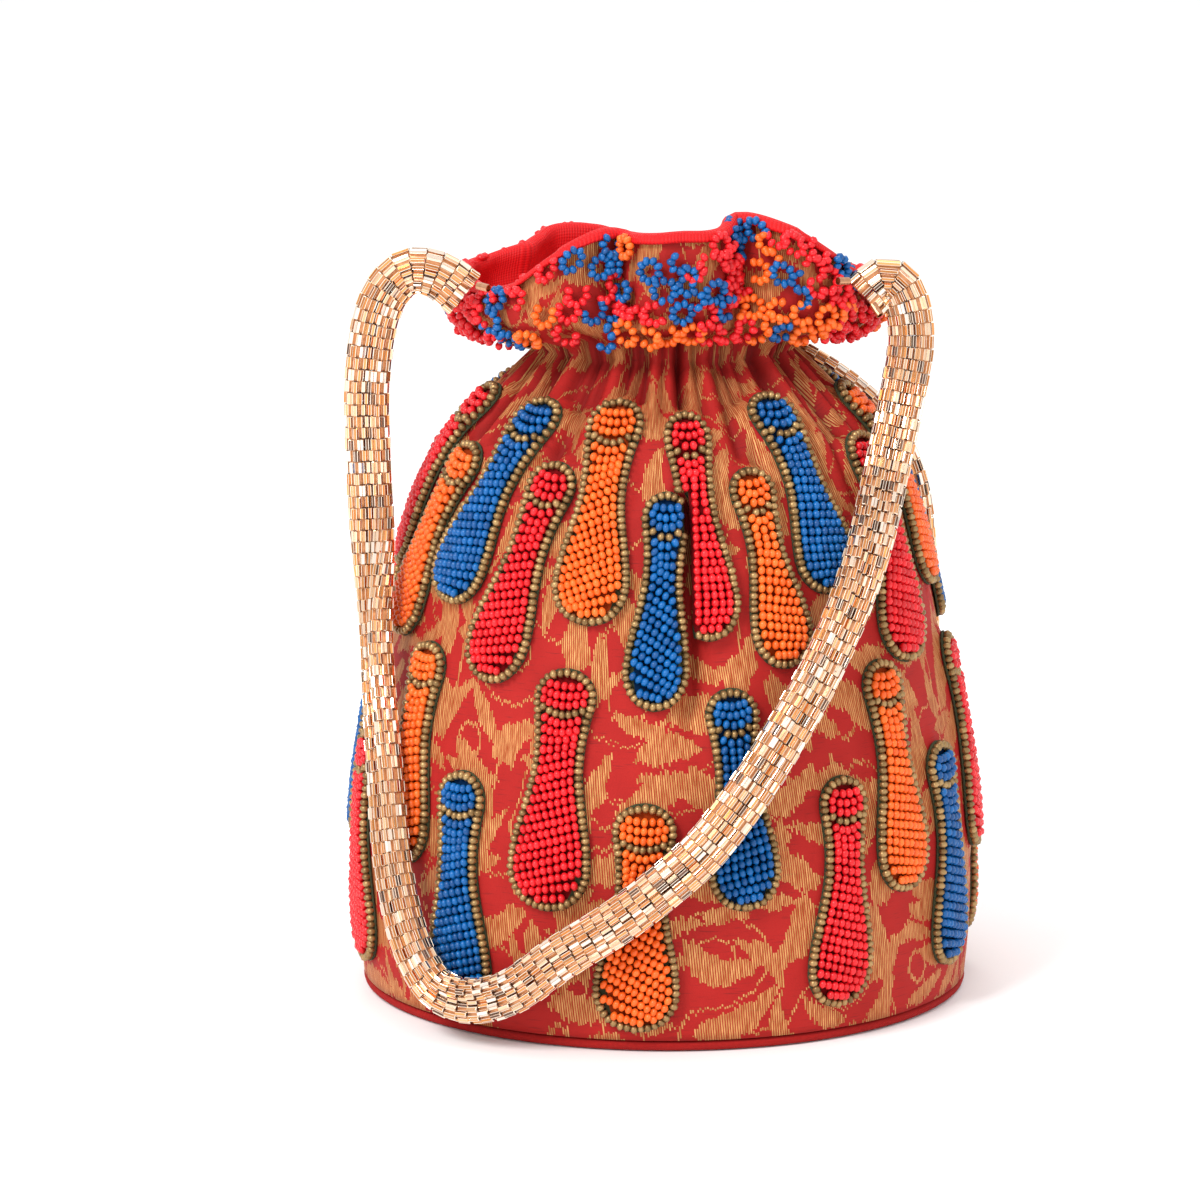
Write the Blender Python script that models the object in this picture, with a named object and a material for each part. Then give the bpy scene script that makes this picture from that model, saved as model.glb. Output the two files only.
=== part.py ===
"""Potli bag: a gathered brocade bag with a beaded ruffle, beaded drops and two mesh straps.

Metres, +Z up. The bag stands on the floor with the middle of its base at the
origin, and its front looks along -Y. An angle of 0 is the middle of the front,
and angles grow towards +X.
"""

import math

import bmesh
import bpy
from mathutils import Vector

# Base and body
BASE_HALF_WIDTH = 0.0730
BASE_HALF_DEPTH = 0.0660
NECK_HALF_WIDTH = 0.0320
NECK_HALF_DEPTH = 0.0225
NECK_HEIGHT = 0.1550
CLOTH = 0.0012
LINING_CLOTH = 0.0007
CLEARANCE = 0.00035

# Height as a share of the neck height, and how far the body reaches from the
# neck's section towards the base's
BODY_SHAPE = (
    (0.000, 1.000), (0.116, 1.034), (0.271, 1.017), (0.432, 0.930), (0.590, 0.800),
    (0.684, 0.720), (0.781, 0.610), (0.877, 0.430), (0.940, 0.215), (1.000, 0.000),
)

# Base pieces, from the floor up
PIPING_DIAMETER = 0.0022
BASE_PANEL_THICKNESS = 0.0012
BASE_BOARD_THICKNESS = 0.0020

# Ruffle above the neck
RUFFLE_HALF_WIDTH = 0.0510
RUFFLE_HALF_DEPTH = 0.0340
FLARE = ((0.0, 0.0), (0.08, 0.16), (0.25, 0.74), (0.60, 1.0), (1.0, 0.96))
RIM_HEIGHTS = (
    (-88, 0.0165), (-62, 0.0150), (-46, 0.0168), (-36, 0.0222), (-28, 0.0266), (-20, 0.0298),
    (-13, 0.0290), (2, 0.0300), (16, 0.0305), (26, 0.0330), (37, 0.0300), (49, 0.0245),
    (61, 0.0195), (75, 0.0165), (92, 0.0160), (130, 0.0165), (160, 0.0175), (180, 0.0190),
    (190, 0.0210), (200, 0.0235), (212, 0.0238), (226, 0.0210), (242, 0.0180), (272, 0.0165),
)
FOLDS = ((-16, 0.0100), (24, 0.0105), (132, 0.0050), (180, 0.0055), (228, 0.0050))
FOLD_SPREAD = 15.0
BINDING_SHARE = 0.12
BINDING_CLOTH = 0.0007
BEADWORK_THICKNESS = 0.0018
BEADWORK_LOW = 0.15

# Gathers: one valley between two rounded ridges
PLEATS = 20
FIRST_VALLEY = 4.6
PLEAT_WANDER = 2.3
PLEAT_DEPTH = 0.0040
RUFFLE_PLEAT_DEPTH = 0.0010
CREASE_DEPTH = 0.0065
CREASE_FOOT = 0.42
CREASE_SPREAD = 20.0
ELASTIC_DIAMETER = 0.0012
ELASTIC_ROOM = 0.0020

# Beaded drops: a low edge of felt, a rim of gold beads set in from it, and a crowned field
DROP_THICKNESS = 0.0025
DROP_EDGE = 0.0006
DROP_RIM = 0.0020
RIM_INSET = 0.00145
# Shares of the length, cap first, with the half width and the height on the spine there
DROP_SHAPE = (
    (0.00, 0.0024, DROP_EDGE), (0.04, 0.0056, DROP_RIM), (0.11, 0.0073, DROP_THICKNESS),
    (0.22, 0.0066, DROP_THICKNESS), (0.37, 0.0060, DROP_THICKNESS),
    (0.55, 0.0074, DROP_THICKNESS), (0.76, 0.0097, DROP_THICKNESS),
    (0.88, 0.0092, DROP_THICKNESS), (0.96, 0.0063, DROP_RIM), (1.00, 0.0026, DROP_EDGE),
)
DROP_CLEARANCE = 0.0006

# Cap angle, cap height, toe angle and toe height (heights as shares of the neck
# height), width share, and colour of the drops that the front shows
FRONT_DROPS = (
    (-74, 0.945, -90, 0.660, 0.88, "red"),
    (-60, 0.870, -73, 0.570, 0.88, "orange"),
    (-40, 0.940, -54, 0.640, 0.92, "blue"),
    (-28, 0.860, -39, 0.535, 0.88, "red"),
    (-15, 0.945, -17, 0.630, 0.95, "orange"),
    (5, 0.930, 9, 0.610, 0.80, "red"),
    (0, 0.825, -3, 0.510, 0.82, "blue"),
    (20, 0.855, 25, 0.565, 0.80, "orange"),
    (33, 0.950, 38, 0.665, 0.88, "blue"),
    (62, 0.885, 57, 0.545, 0.95, "red"),
    (-56, 0.580, -56, 0.240, 0.92, "orange"),
    (-20, 0.570, -22, 0.210, 1.05, "red"),
    (12, 0.545, 14, 0.215, 0.90, "blue"),
    (47, 0.563, 48, 0.210, 0.88, "orange"),
    (-79, 0.415, -73, 0.055, 0.90, "red"),
    (-41, 0.405, -40, 0.035, 0.95, "blue"),
    (-4, 0.380, -6, 0.030, 1.05, "orange"),
    (34, 0.405, 32, 0.052, 0.90, "red"),
    (63, 0.420, 64, 0.068, 0.90, "blue"),
)

# Rows that go on round the back: first and last angle, count, cap and toe height
BACK_ROWS = (
    (80, 236, 5, 0.945, 0.635),
    (99.5, 255.5, 5, 0.860, 0.558),
    (83, 265, 6, 0.560, 0.220),
    (101, 248, 5, 0.400, 0.050),
)
BACK_WIDTH_SHARE = 0.92
COLOURS = ("orange", "blue", "red")

# Where the front's deep crease cuts the drops beside it
CREASE_HALF_GAP = 0.9
CREASE_TOP = 0.815

# Straps: chosen route points in millimetres
STRAP_DIAMETER = 0.0060
STRAP_POINTS = 30
FRONT_ROUTE = (
    (-47, -22, 170), (-54, -23, 175), (-61, -22, 175), (-67, -21, 167), (-70, -20, 150),
    (-70, -19, 130), (-69, -20, 108), (-68, -27, 85), (-66, -39, 61), (-64, -46, 40),
    (-60, -52, 23), (-54, -57, 13), (-46, -62, 11), (-36, -68, 15), (-25, -72, 24),
    (-12, -74, 33), (-2, -75, 41), (8, -74, 50), (17, -71, 61), (26, -66, 74),
    (34, -60, 87), (42, -51, 103), (47, -42, 116), (51, -31, 130), (55, -24, 147),
    (57, -21, 160), (55, -20, 170), (51, -20, 173), (46, -21, 169),
)
BACK_ROUTE = (
    (-47, 22, 166), (-44, 28, 159), (-34, 34, 154), (-18, 37, 152), (0, 38, 151),
    (14, 37, 150), (29, 34, 147), (49, 30, 134), (58, 28, 120), (62, 31, 102),
    (64, 38, 82), (62, 46, 61), (52, 57, 41), (36, 67, 30), (18, 73, 32),
    (3, 74, 46), (-6, 70, 65), (-9, 65, 86), (-5, 60, 108), (4, 54, 128),
    (16, 49, 142), (28, 41, 153), (38, 30, 160), (43, 25, 164), (47, 22, 166),
)

AROUND = 3 * PLEATS
PIPING_POINTS = 40
# The cloth wall in three tiers, so that collision follows each one's curve
WALL_TIERS = {
    "brocade_wall": (0.0, 0.12, 0.27, 0.43, 0.58, 0.70),
    "brocade_shoulder": (0.70, 0.80, 0.88, 0.94, 1.0),
    "brocade_ruffle": (1.0, 1.0 + BEADWORK_LOW, 1.25, 1.6, 2.0),
}
TIER_GAP = 0.0002
LINING_LEVELS = (0.43, 0.80, 0.88, 0.94, 1.0, 1.0 + BEADWORK_LOW, 1.25, 1.6)


def clear_scene():
    """Remove every object that the open file holds."""
    for item in list(bpy.data.objects):
        bpy.data.objects.remove(item, do_unlink=True)


def blend(points, x):
    """Read a smooth curve through (x, y) points, held level past its ends."""
    if x <= points[0][0]:
        return points[0][1]
    if x >= points[-1][0]:
        return points[-1][1]
    at = max(i for i in range(len(points) - 1) if points[i][0] <= x)

    def slope(i):
        low, high = max(i - 1, 0), min(i + 1, len(points) - 1)
        return (points[high][1] - points[low][1]) / (points[high][0] - points[low][0])

    (x0, y0), (x1, y1) = points[at], points[at + 1]
    step = x1 - x0
    s = (x - x0) / step
    return (
        y0 * (1 + 2 * s) * (1 - s) ** 2 + y1 * s * s * (3 - 2 * s)
        + step * (slope(at) * s * (1 - s) ** 2 - slope(at + 1) * s * s * (1 - s))
    )


def ease(low, high, x):
    """Rise smoothly from 0 at low to 1 at high."""
    s = min(max((x - low) / (high - low), 0.0), 1.0)
    return s * s * (3 - 2 * s)


def turn(angle):
    """Bring an angle into the range -180 to 180 degrees."""
    return (angle + 180.0) % 360.0 - 180.0


def valley_angle(index):
    """Angle of one gather's valley: evenly spaced with a steady wander."""
    number = index % PLEATS
    return FIRST_VALLEY + 360.0 * index / PLEATS + PLEAT_WANDER * math.sin(2.1 * number)


def pleat_place(angle):
    """Index of the gather that holds an angle, and the share of the way across it."""
    start = FIRST_VALLEY - PLEAT_WANDER - 1.0
    around = start + (angle - start) % 360.0
    index = int((around - FIRST_VALLEY) * PLEATS / 360.0) - 1
    while valley_angle(index + 1) <= around:
        index += 1
    low, high = valley_angle(index), valley_angle(index + 1)
    return index % PLEATS, min(max((around - low) / (high - low), 0.0), 1.0)


def pleat_cut(angle, level):
    """How far the cloth sinks between two gathers at an angle and a level."""
    index, share = pleat_place(angle)
    near = index if share < 0.5 else (index + 1) % PLEATS
    foot = 0.56 + 0.09 * math.sin(2.4 * near)
    depth = PLEAT_DEPTH * ease(foot, 0.96, level)
    if near == 0:
        crease = CREASE_DEPTH * ease(CREASE_FOOT, CREASE_FOOT + 0.15, level)
        depth = max(depth, crease * (1.0 - ease(0.86, 0.97, level)))
    if level > 1.0:
        depth += (RUFFLE_PLEAT_DEPTH - depth) * ease(1.0, 1.3, level)
    return depth * (1.0 - math.sin(math.pi * share) ** 0.7)


def rim_height(angle):
    """Height of the ruffle's rim above the neck."""
    first = RIM_HEIGHTS[0][0]
    return blend(RIM_HEIGHTS, first + (angle - first) % 360.0)


def fold_cut(angle):
    """How far the ruffle's folds cut in at an angle."""
    return sum(
        depth * max(0.0, 1.0 - abs(turn(angle - middle)) / FOLD_SPREAD) ** 1.4
        for middle, depth in FOLDS
    )


def smooth_point(angle, level):
    """Cloth surface without gathers: level 0 is the base, 1 the neck and 2 the rim."""
    if level <= 1.0:
        share = blend(BODY_SHAPE, level)
        half_width = NECK_HALF_WIDTH + (BASE_HALF_WIDTH - NECK_HALF_WIDTH) * share
        half_depth = NECK_HALF_DEPTH + (BASE_HALF_DEPTH - NECK_HALF_DEPTH) * share
        foot = PIPING_DIAMETER + CLEARANCE
        height = foot + (NECK_HEIGHT - foot) * level
    else:
        share = blend(FLARE, level - 1.0)
        cut = fold_cut(angle) * ease(0.05, 0.6, level - 1.0)
        half_width = NECK_HALF_WIDTH + (RUFFLE_HALF_WIDTH - NECK_HALF_WIDTH) * share - cut
        half_depth = NECK_HALF_DEPTH + (RUFFLE_HALF_DEPTH - NECK_HALF_DEPTH) * share - cut
        height = NECK_HEIGHT + rim_height(angle) * (level - 1.0)
    a = math.radians(angle)
    return Vector((half_width * math.sin(a), -half_depth * math.cos(a), height))


def smooth_normal(angle, level):
    """Outward direction of the cloth without gathers."""
    low, high = max(level - 0.01, 0.0), min(level + 0.01, 2.0)
    along = smooth_point(angle, high) - smooth_point(angle, low)
    around = smooth_point(angle + 1.0, level) - smooth_point(angle - 1.0, level)
    return around.cross(along).normalized()


def cloth_point(angle, level, inset=0.0, gathered=True):
    """Point of the cloth, moved inwards by the inset."""
    cut = pleat_cut(angle, level) if gathered else 0.0
    return smooth_point(angle, level) - smooth_normal(angle, level) * (cut + inset)


def level_point(angle, level, inset):
    """Point of the cloth without gathers, moved level with the floor by the inset."""
    out = smooth_normal(angle, level)
    out.z = 0.0
    return smooth_point(angle, level) - out.normalized() * inset


def level_at(height):
    """Body level at a height given as a share of the neck height."""
    foot = PIPING_DIAMETER + CLEARANCE
    return (height * NECK_HEIGHT - foot) / (NECK_HEIGHT - foot)


ANGLES = [
    valley_angle(i // 3) + (valley_angle(i // 3 + 1) - valley_angle(i // 3)) * (i % 3) / 3.0
    for i in range(AROUND)
]


def material(name, colour, roughness, metallic=0.0):
    """Plain Principled material."""
    made = bpy.data.materials.new(name)
    made.use_nodes = True
    shader = made.node_tree.nodes["Principled BSDF"]
    shader.inputs["Base Color"].default_value = (*colour, 1.0)
    shader.inputs["Roughness"].default_value = roughness
    shader.inputs["Metallic"].default_value = metallic
    made.diffuse_color = (*colour, 1.0)
    return made


def add_object(name, data, surface, collection):
    """Put a mesh or curve in the bag's collection with its material."""
    made = bpy.data.objects.new(name, data)
    made.data.materials.append(surface)
    collection.objects.link(made)
    return made


def loft(name, rings, closed_loop, surface, collection):
    """Skin rings of equal count. A closed loop joins the last ring to the first;
    otherwise both ends are filled with a fan."""
    shape = bmesh.new()
    rows = [[shape.verts.new(point) for point in ring] for ring in rings]
    count = len(rows[0])
    pairs = list(zip(rows, rows[1:]))
    if closed_loop:
        pairs.append((rows[-1], rows[0]))
    for low, high in pairs:
        for i in range(count):
            j = (i + 1) % count
            shape.faces.new((low[i], low[j], high[j], high[i]))
    if not closed_loop:
        for row in (rows[0], rows[-1]):
            middle = shape.verts.new(sum((v.co for v in row), Vector()) / count)
            for i in range(count):
                shape.faces.new((row[i], row[(i + 1) % count], middle))
    bmesh.ops.recalc_face_normals(shape, faces=shape.faces)
    mesh = bpy.data.meshes.new(name)
    shape.to_mesh(mesh)
    shape.free()
    for face in mesh.polygons:
        face.use_smooth = True
    mesh.set_sharp_from_angle(angle=math.radians(50))
    return add_object(name, mesh, surface, collection)


def brocade_tier(name, levels, surface, collection):
    """One tier of the gathered outer cloth, a hair above the tier below it."""
    span = NECK_HEIGHT if levels[0] < 1.0 else rim_height(0.0)
    first = levels[0] + (TIER_GAP / span if levels[0] > 0.0 else 0.0)
    levels = (first, *levels[1:])
    outer = [[cloth_point(a, v) for a in ANGLES] for v in levels]
    inner = [[cloth_point(a, v, CLOTH) for a in ANGLES] for v in reversed(levels)]
    return loft(name, outer + inner, True, surface, collection)


def lining_inset(angle, level):
    """Lining's distance inside the smooth cloth: past the gathers, the wall and the elastic."""
    gathers = PLEAT_DEPTH * ease(0.45, 0.9, level) * (1.0 - ease(1.0, 1.3, level))
    beside = max(0.0, 1.0 - abs(turn(angle - valley_angle(0))) / CREASE_SPREAD)
    crease = CREASE_DEPTH * beside * ease(CREASE_FOOT - 0.1, CREASE_FOOT, level)
    crease *= 1.0 - ease(0.9, 1.0, level)
    elastic = (ELASTIC_DIAMETER + ELASTIC_ROOM) * ease(0.75, 0.94, level)
    elastic *= 1.0 - ease(1.15, 1.3, level)
    ruffle = RUFFLE_PLEAT_DEPTH * ease(1.1, 1.3, level)
    return max(gathers, crease) + elastic + ruffle + CLOTH + CLEARANCE


def lining_point(angle, level, inset):
    """Point of the lining, which hangs straight down inside the neck."""
    inset += lining_inset(angle, level)
    if 0.85 < level <= 1.0:
        return level_point(angle, level, inset)
    return cloth_point(angle, level, inset, gathered=False)


def rim_ring(inset, rise):
    """Ring beside or above the rim: inset from the cloth and raised."""
    lift = Vector((0.0, 0.0, rise))
    return [cloth_point(a, 2.0, inset) + lift for a in ANGLES]


def lining(surface, collection):
    """Red lining bag, folded over the rim as a binding."""
    floor = PIPING_DIAMETER + CLEARANCE + BASE_BOARD_THICKNESS + 2 * CLEARANCE
    first = level_at(floor / NECK_HEIGHT)
    levels = (first, *LINING_LEVELS)
    skin = [[lining_point(a, v, 0.0) for a in ANGLES] for v in levels]
    inside = [[lining_point(a, v, LINING_CLOTH) for a in ANGLES] for v in reversed(levels)]
    lift = Vector((0.0, 0.0, LINING_CLOTH))
    inside[-1] = [point + lift for point in inside[-1]]
    edge = 2.0 - BINDING_SHARE
    fold = [
        rim_ring(RUFFLE_PLEAT_DEPTH + CLOTH + CLEARANCE, CLEARANCE),
        rim_ring(-CLEARANCE, CLEARANCE),
        [cloth_point(a, edge, -CLEARANCE) for a in ANGLES],
        [cloth_point(a, edge, -CLEARANCE - BINDING_CLOTH) for a in ANGLES],
        rim_ring(-CLEARANCE - BINDING_CLOTH, CLEARANCE + LINING_CLOTH),
        rim_ring(RUFFLE_PLEAT_DEPTH + CLOTH + CLEARANCE + LINING_CLOTH, CLEARANCE + LINING_CLOTH),
    ]
    return loft("lining", skin + fold + inside, False, surface, collection)


def beadwork_band(surface, collection):
    """Band of bead loops sewn over the ruffle, under the binding."""
    levels = (1.0 + BEADWORK_LOW, 1.25, 1.6, 2.0 - BINDING_SHARE - 0.02)
    inner = [[cloth_point(a, v, -CLEARANCE) for a in ANGLES] for v in levels]
    reach = -CLEARANCE - BEADWORK_THICKNESS
    outer = [[cloth_point(a, v, reach) for a in ANGLES] for v in reversed(levels)]
    return loft("ruffle_beadwork", inner + outer, True, surface, collection)


def flat_disc(name, gap, bottom, thickness, surface, collection):
    """Oval disc inside the base's outline."""
    shape = bmesh.new()
    bmesh.ops.create_cone(
        shape, cap_ends=True, segments=PIPING_POINTS, radius1=1.0, radius2=1.0, depth=thickness
    )
    size = Vector((BASE_HALF_WIDTH - gap, BASE_HALF_DEPTH - gap, 1.0))
    bmesh.ops.scale(shape, vec=size, verts=shape.verts)
    bmesh.ops.translate(shape, vec=(0.0, 0.0, bottom + thickness / 2), verts=shape.verts)
    mesh = bpy.data.meshes.new(name)
    shape.to_mesh(mesh)
    shape.free()
    return add_object(name, mesh, surface, collection)


def tube(name, points, diameter, sides_level, cyclic, surface, collection):
    """Round tube along a poly line."""
    curve = bpy.data.curves.new(name, "CURVE")
    curve.dimensions = "3D"
    curve.bevel_depth = diameter / 2
    curve.bevel_resolution = sides_level
    curve.use_fill_caps = True
    line = curve.splines.new("POLY")
    line.points.add(len(points) - 1)
    for spot, point in zip(line.points, points):
        spot.co = (*point, 1.0)
    line.use_cyclic_u = cyclic
    return add_object(name, curve, surface, collection)


def base_piping(surface, collection):
    """Red piping round the base's edge."""
    radius = PIPING_DIAMETER / 2
    points = []
    for i in range(PIPING_POINTS):
        a = math.tau * i / PIPING_POINTS
        x = (BASE_HALF_WIDTH - radius) * math.sin(a)
        y = -(BASE_HALF_DEPTH - radius) * math.cos(a)
        points.append((x, y, radius))
    return tube("base_piping", points, PIPING_DIAMETER, 1, True, surface, collection)


def neck_elastic(surface, collection):
    """Elastic cord that gathers the neck, hidden between the wall and the lining."""
    inset = PLEAT_DEPTH + CLOTH + CLEARANCE + ELASTIC_DIAMETER / 2
    fall = Vector((0.0, 0.0, ELASTIC_DIAMETER / 2))
    points = [level_point(a, 1.0, inset) - fall for a in ANGLES[::2]]
    return tube("neck_elastic", points, ELASTIC_DIAMETER, 0, True, surface, collection)


def drop_column(cap, toe, share, side, half_width):
    """Angle and level on the cloth, half_width to one side of a drop's spine."""
    angle = cap[0] + (toe[0] - cap[0]) * share
    level = cap[1] + (toe[1] - cap[1]) * share
    per_degree = (smooth_point(angle + 0.5, level) - smooth_point(angle - 0.5, level)).length
    per_level = (smooth_point(angle, level + 0.01) - smooth_point(angle, level - 0.01)).length / 0.02
    run, fall = (toe[0] - cap[0]) * per_degree, (toe[1] - cap[1]) * per_level
    length = math.hypot(run, fall)
    across = side * half_width
    return angle - across * fall / length / per_degree, level + across * run / length / per_level


def keep_off_crease(angle, level, middle):
    """Hold a drop's edge on its own side of the crease."""
    line = valley_angle(0)
    if level > CREASE_TOP or level < CREASE_FOOT or abs(middle - line) > 14.0:
        return angle
    if middle > line:
        return max(angle, line + CREASE_HALF_GAP)
    return min(angle, line - CREASE_HALF_GAP)


def drop_ring(shape, cap, toe, share, half_width, spots):
    """Vertices across a drop, from (side, lift) pairs, at a share of its length."""
    middle = (cap[0] + toe[0]) / 2
    ring = []
    for side, lift in spots:
        angle, level = drop_column(cap, toe, share, side, half_width)
        angle = keep_off_crease(angle, level, middle)
        point = cloth_point(angle, level, -DROP_CLEARANCE - lift, gathered=False)
        ring.append(shape.verts.new(point))
    return ring


def drop(name, cap, toe, width_share, surface, collection):
    """One crowned, beaded drop that follows the body's curve."""
    shape = bmesh.new()
    under, top = [], []
    for share, half_width, crown in DROP_SHAPE:
        half_width *= width_share
        rim = max(1.0 - RIM_INSET / half_width, 0.4)
        rise = min(crown, DROP_RIM)
        low = [(-1.0, 0.0), (0.0, 0.0), (1.0, 0.0)]
        high = [(-1.0, DROP_EDGE), (-rim, rise), (0.0, crown), (rim, rise), (1.0, DROP_EDGE)]
        under.append(drop_ring(shape, cap, toe, share, half_width, low))
        top.append(drop_ring(shape, cap, toe, share, half_width, high))
    for i in range(len(DROP_SHAPE) - 1):
        for grid in (under, top):
            for j in range(len(grid[i]) - 1):
                shape.faces.new((grid[i][j], grid[i][j + 1], grid[i + 1][j + 1], grid[i + 1][j]))
        for j in (0, -1):
            shape.faces.new((under[i][j], under[i + 1][j], top[i + 1][j], top[i][j]))
    for i in (0, -1):
        shape.faces.new(under[i] + top[i][::-1])
    bmesh.ops.recalc_face_normals(shape, faces=shape.faces)
    mesh = bpy.data.meshes.new(name)
    shape.to_mesh(mesh)
    shape.free()
    return add_object(name, mesh, surface, collection)


def drop_places():
    """Every drop's cap, toe, width share and colour, front first."""
    places = [
        ((a, level_at(h)), (b, level_at(low)), share, colour)
        for a, h, b, low, share, colour in FRONT_DROPS
    ]
    for row, (first, last, count, high, low) in enumerate(BACK_ROWS):
        for i in range(count):
            angle = first + (last - first) * i / (count - 1)
            cap, toe = (angle, level_at(high)), (angle, level_at(low))
            places.append((cap, toe, BACK_WIDTH_SHARE, COLOURS[(row + i) % len(COLOURS)]))
    return places


def strap(name, route, surface, collection):
    """Mesh strap read from a smooth curve through its route points."""
    stops = [Vector(point) * 0.001 for point in route]
    lengths = [0.0]
    for low, high in zip(stops, stops[1:]):
        lengths.append(lengths[-1] + (high - low).length)
    axes = [list(zip(lengths, (point[k] for point in stops))) for k in range(3)]
    points = []
    for i in range(STRAP_POINTS):
        at = lengths[-1] * i / (STRAP_POINTS - 1)
        points.append(tuple(blend(axis, at) for axis in axes))
    return tube(name, points, STRAP_DIAMETER, 2, False, surface, collection)


def build():
    """Make every piece of the bag."""
    clear_scene()
    bag = bpy.data.collections.new("potli_bag")
    bpy.context.scene.collection.children.link(bag)
    brocade = material("red_gold_brocade", (0.42, 0.05, 0.03), 0.55)
    red_cloth = material("red_lining_silk", (0.62, 0.02, 0.02), 0.60)
    card = material("grey_board", (0.35, 0.33, 0.30), 0.90)
    rubber = material("white_elastic", (0.75, 0.73, 0.70), 0.80)
    mesh_metal = material("rose_gold_mesh", (0.80, 0.62, 0.48), 0.25, 1.0)
    beads = {
        "red": material("red_glass_beads", (0.75, 0.03, 0.04), 0.25),
        "blue": material("blue_glass_beads", (0.01, 0.15, 0.45), 0.25),
        "orange": material("orange_glass_beads", (0.90, 0.22, 0.03), 0.25),
    }
    for name, levels in WALL_TIERS.items():
        brocade_tier(name, levels, brocade, bag)
    lining(red_cloth, bag)
    beadwork_band(beads["red"], bag)
    flat_disc(
        "base_panel", PIPING_DIAMETER + CLEARANCE, 0.0, BASE_PANEL_THICKNESS, brocade, bag
    )
    board_bottom = PIPING_DIAMETER + CLEARANCE
    board_gap = CLOTH + 3 * CLEARANCE
    flat_disc("base_board", board_gap, board_bottom, BASE_BOARD_THICKNESS, card, bag)
    base_piping(red_cloth, bag)
    neck_elastic(rubber, bag)
    for number, (cap, toe, share, colour) in enumerate(drop_places(), start=1):
        drop(f"bead_drop_{number:02d}", cap, toe, share, beads[colour], bag)
    strap("front_strap", FRONT_ROUTE, mesh_metal, bag)
    strap("back_strap", BACK_ROUTE, mesh_metal, bag)


build()
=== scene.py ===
"""Potli bag of red and gold brocade, with beaded drops, a beaded ruffle and two mesh straps."""

import math
import random

import bpy
import numpy as np
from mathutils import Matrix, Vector, noise


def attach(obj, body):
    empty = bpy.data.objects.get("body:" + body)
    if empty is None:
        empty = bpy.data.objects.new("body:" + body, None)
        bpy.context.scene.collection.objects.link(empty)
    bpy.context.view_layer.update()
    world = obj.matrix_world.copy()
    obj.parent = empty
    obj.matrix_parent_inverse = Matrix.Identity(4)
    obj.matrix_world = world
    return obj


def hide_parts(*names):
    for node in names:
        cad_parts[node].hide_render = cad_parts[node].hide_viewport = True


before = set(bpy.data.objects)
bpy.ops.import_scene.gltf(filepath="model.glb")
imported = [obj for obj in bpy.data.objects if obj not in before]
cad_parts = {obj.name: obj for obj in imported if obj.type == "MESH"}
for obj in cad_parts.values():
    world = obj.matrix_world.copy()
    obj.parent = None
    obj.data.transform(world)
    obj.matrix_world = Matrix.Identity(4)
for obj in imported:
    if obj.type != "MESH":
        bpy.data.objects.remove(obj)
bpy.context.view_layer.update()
bpy.ops.object.select_all(action="DESELECT")

# Studio: a long lens a little above the bag and to its left, three soft lamps
# in a white room, and a plain white floor.
bpy.ops.object.camera_add(
    location=(-0.0156, -1.19, 0.342), rotation=(math.radians(78.17), 0.0, 0.0)
)
camera = bpy.context.object
camera.name = "camera"
camera.data.sensor_width = 36.0
camera.data.lens = 152.0
bpy.context.scene.camera = camera
bpy.context.scene.view_settings.view_transform = "Standard"

LAMPS = (
    ("key_lamp", (-0.75, -0.95, 1.15), 0.50, 17.0),
    ("fill_lamp", (1.05, -0.75, 0.60), 0.80, 1.5),
    ("top_lamp", (0.15, 0.50, 1.30), 0.90, 4.0),
)
for name, place, size, power in LAMPS:
    bpy.ops.object.light_add(type="AREA", location=place)
    lamp = bpy.context.object
    lamp.name = name
    lamp.data.size = size
    lamp.data.energy = power
    aim = Vector((0.0, 0.0, 0.09)) - Vector(place)
    lamp.rotation_euler = aim.to_track_quat("-Z", "Y").to_euler()

room = bpy.data.worlds.new("white_room")
room.use_nodes = True
room.node_tree.nodes["Background"].inputs["Color"].default_value = (1.0, 1.0, 1.0, 1.0)
room.node_tree.nodes["Background"].inputs["Strength"].default_value = 1.0
bpy.context.scene.world = room


def start_finish(name, roughness, metallic=0.0, gloss=0.5):
    """New node material; gives it back with its node tree and its shader."""
    made = bpy.data.materials.new(name)
    made.use_nodes = True
    surface = made.node_tree.nodes["Principled BSDF"]
    surface.inputs["Specular IOR Level"].default_value = gloss
    surface.inputs["Roughness"].default_value = roughness
    surface.inputs["Metallic"].default_value = metallic
    return made, made.node_tree, surface


def add_node(tree, kind, inputs=(), **settings):
    """Add a node with its settings. An input is a value, or another node's output."""
    made = tree.nodes.new(kind)
    for key, value in settings.items():
        setattr(made, key, value)
    for key, value in dict(inputs).items():
        if isinstance(value, bpy.types.NodeSocket):
            tree.links.new(value, made.inputs[key])
        else:
            made.inputs[key].default_value = value
    return made


def maths(tree, operation, first, second=0.0, third=0.0):
    """Output of a Math node on values or other nodes' outputs."""
    inputs = {0: first, 1: second, 2: third}
    return add_node(tree, "ShaderNodeMath", inputs, operation=operation).outputs[0]


def colour_mix(tree, share, first, second):
    """Output of a mix by a share of two colours: (r, g, b), or another node's output."""
    inputs = {0: share}
    for key, colour in ((6, first), (7, second)):
        inputs[key] = (*colour, 1.0) if isinstance(colour, tuple) else colour
    return add_node(tree, "ShaderNodeMix", inputs, data_type="RGBA").outputs[2]


def grain(tree, scale, place=None):
    """Output of a fine noise at a place, or on the object's own coordinates."""
    if place is None:
        place = add_node(tree, "ShaderNodeTexCoord").outputs["Object"]
    return add_node(tree, "ShaderNodeTexNoise", {"Vector": place, "Scale": scale}).outputs["Fac"]


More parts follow.
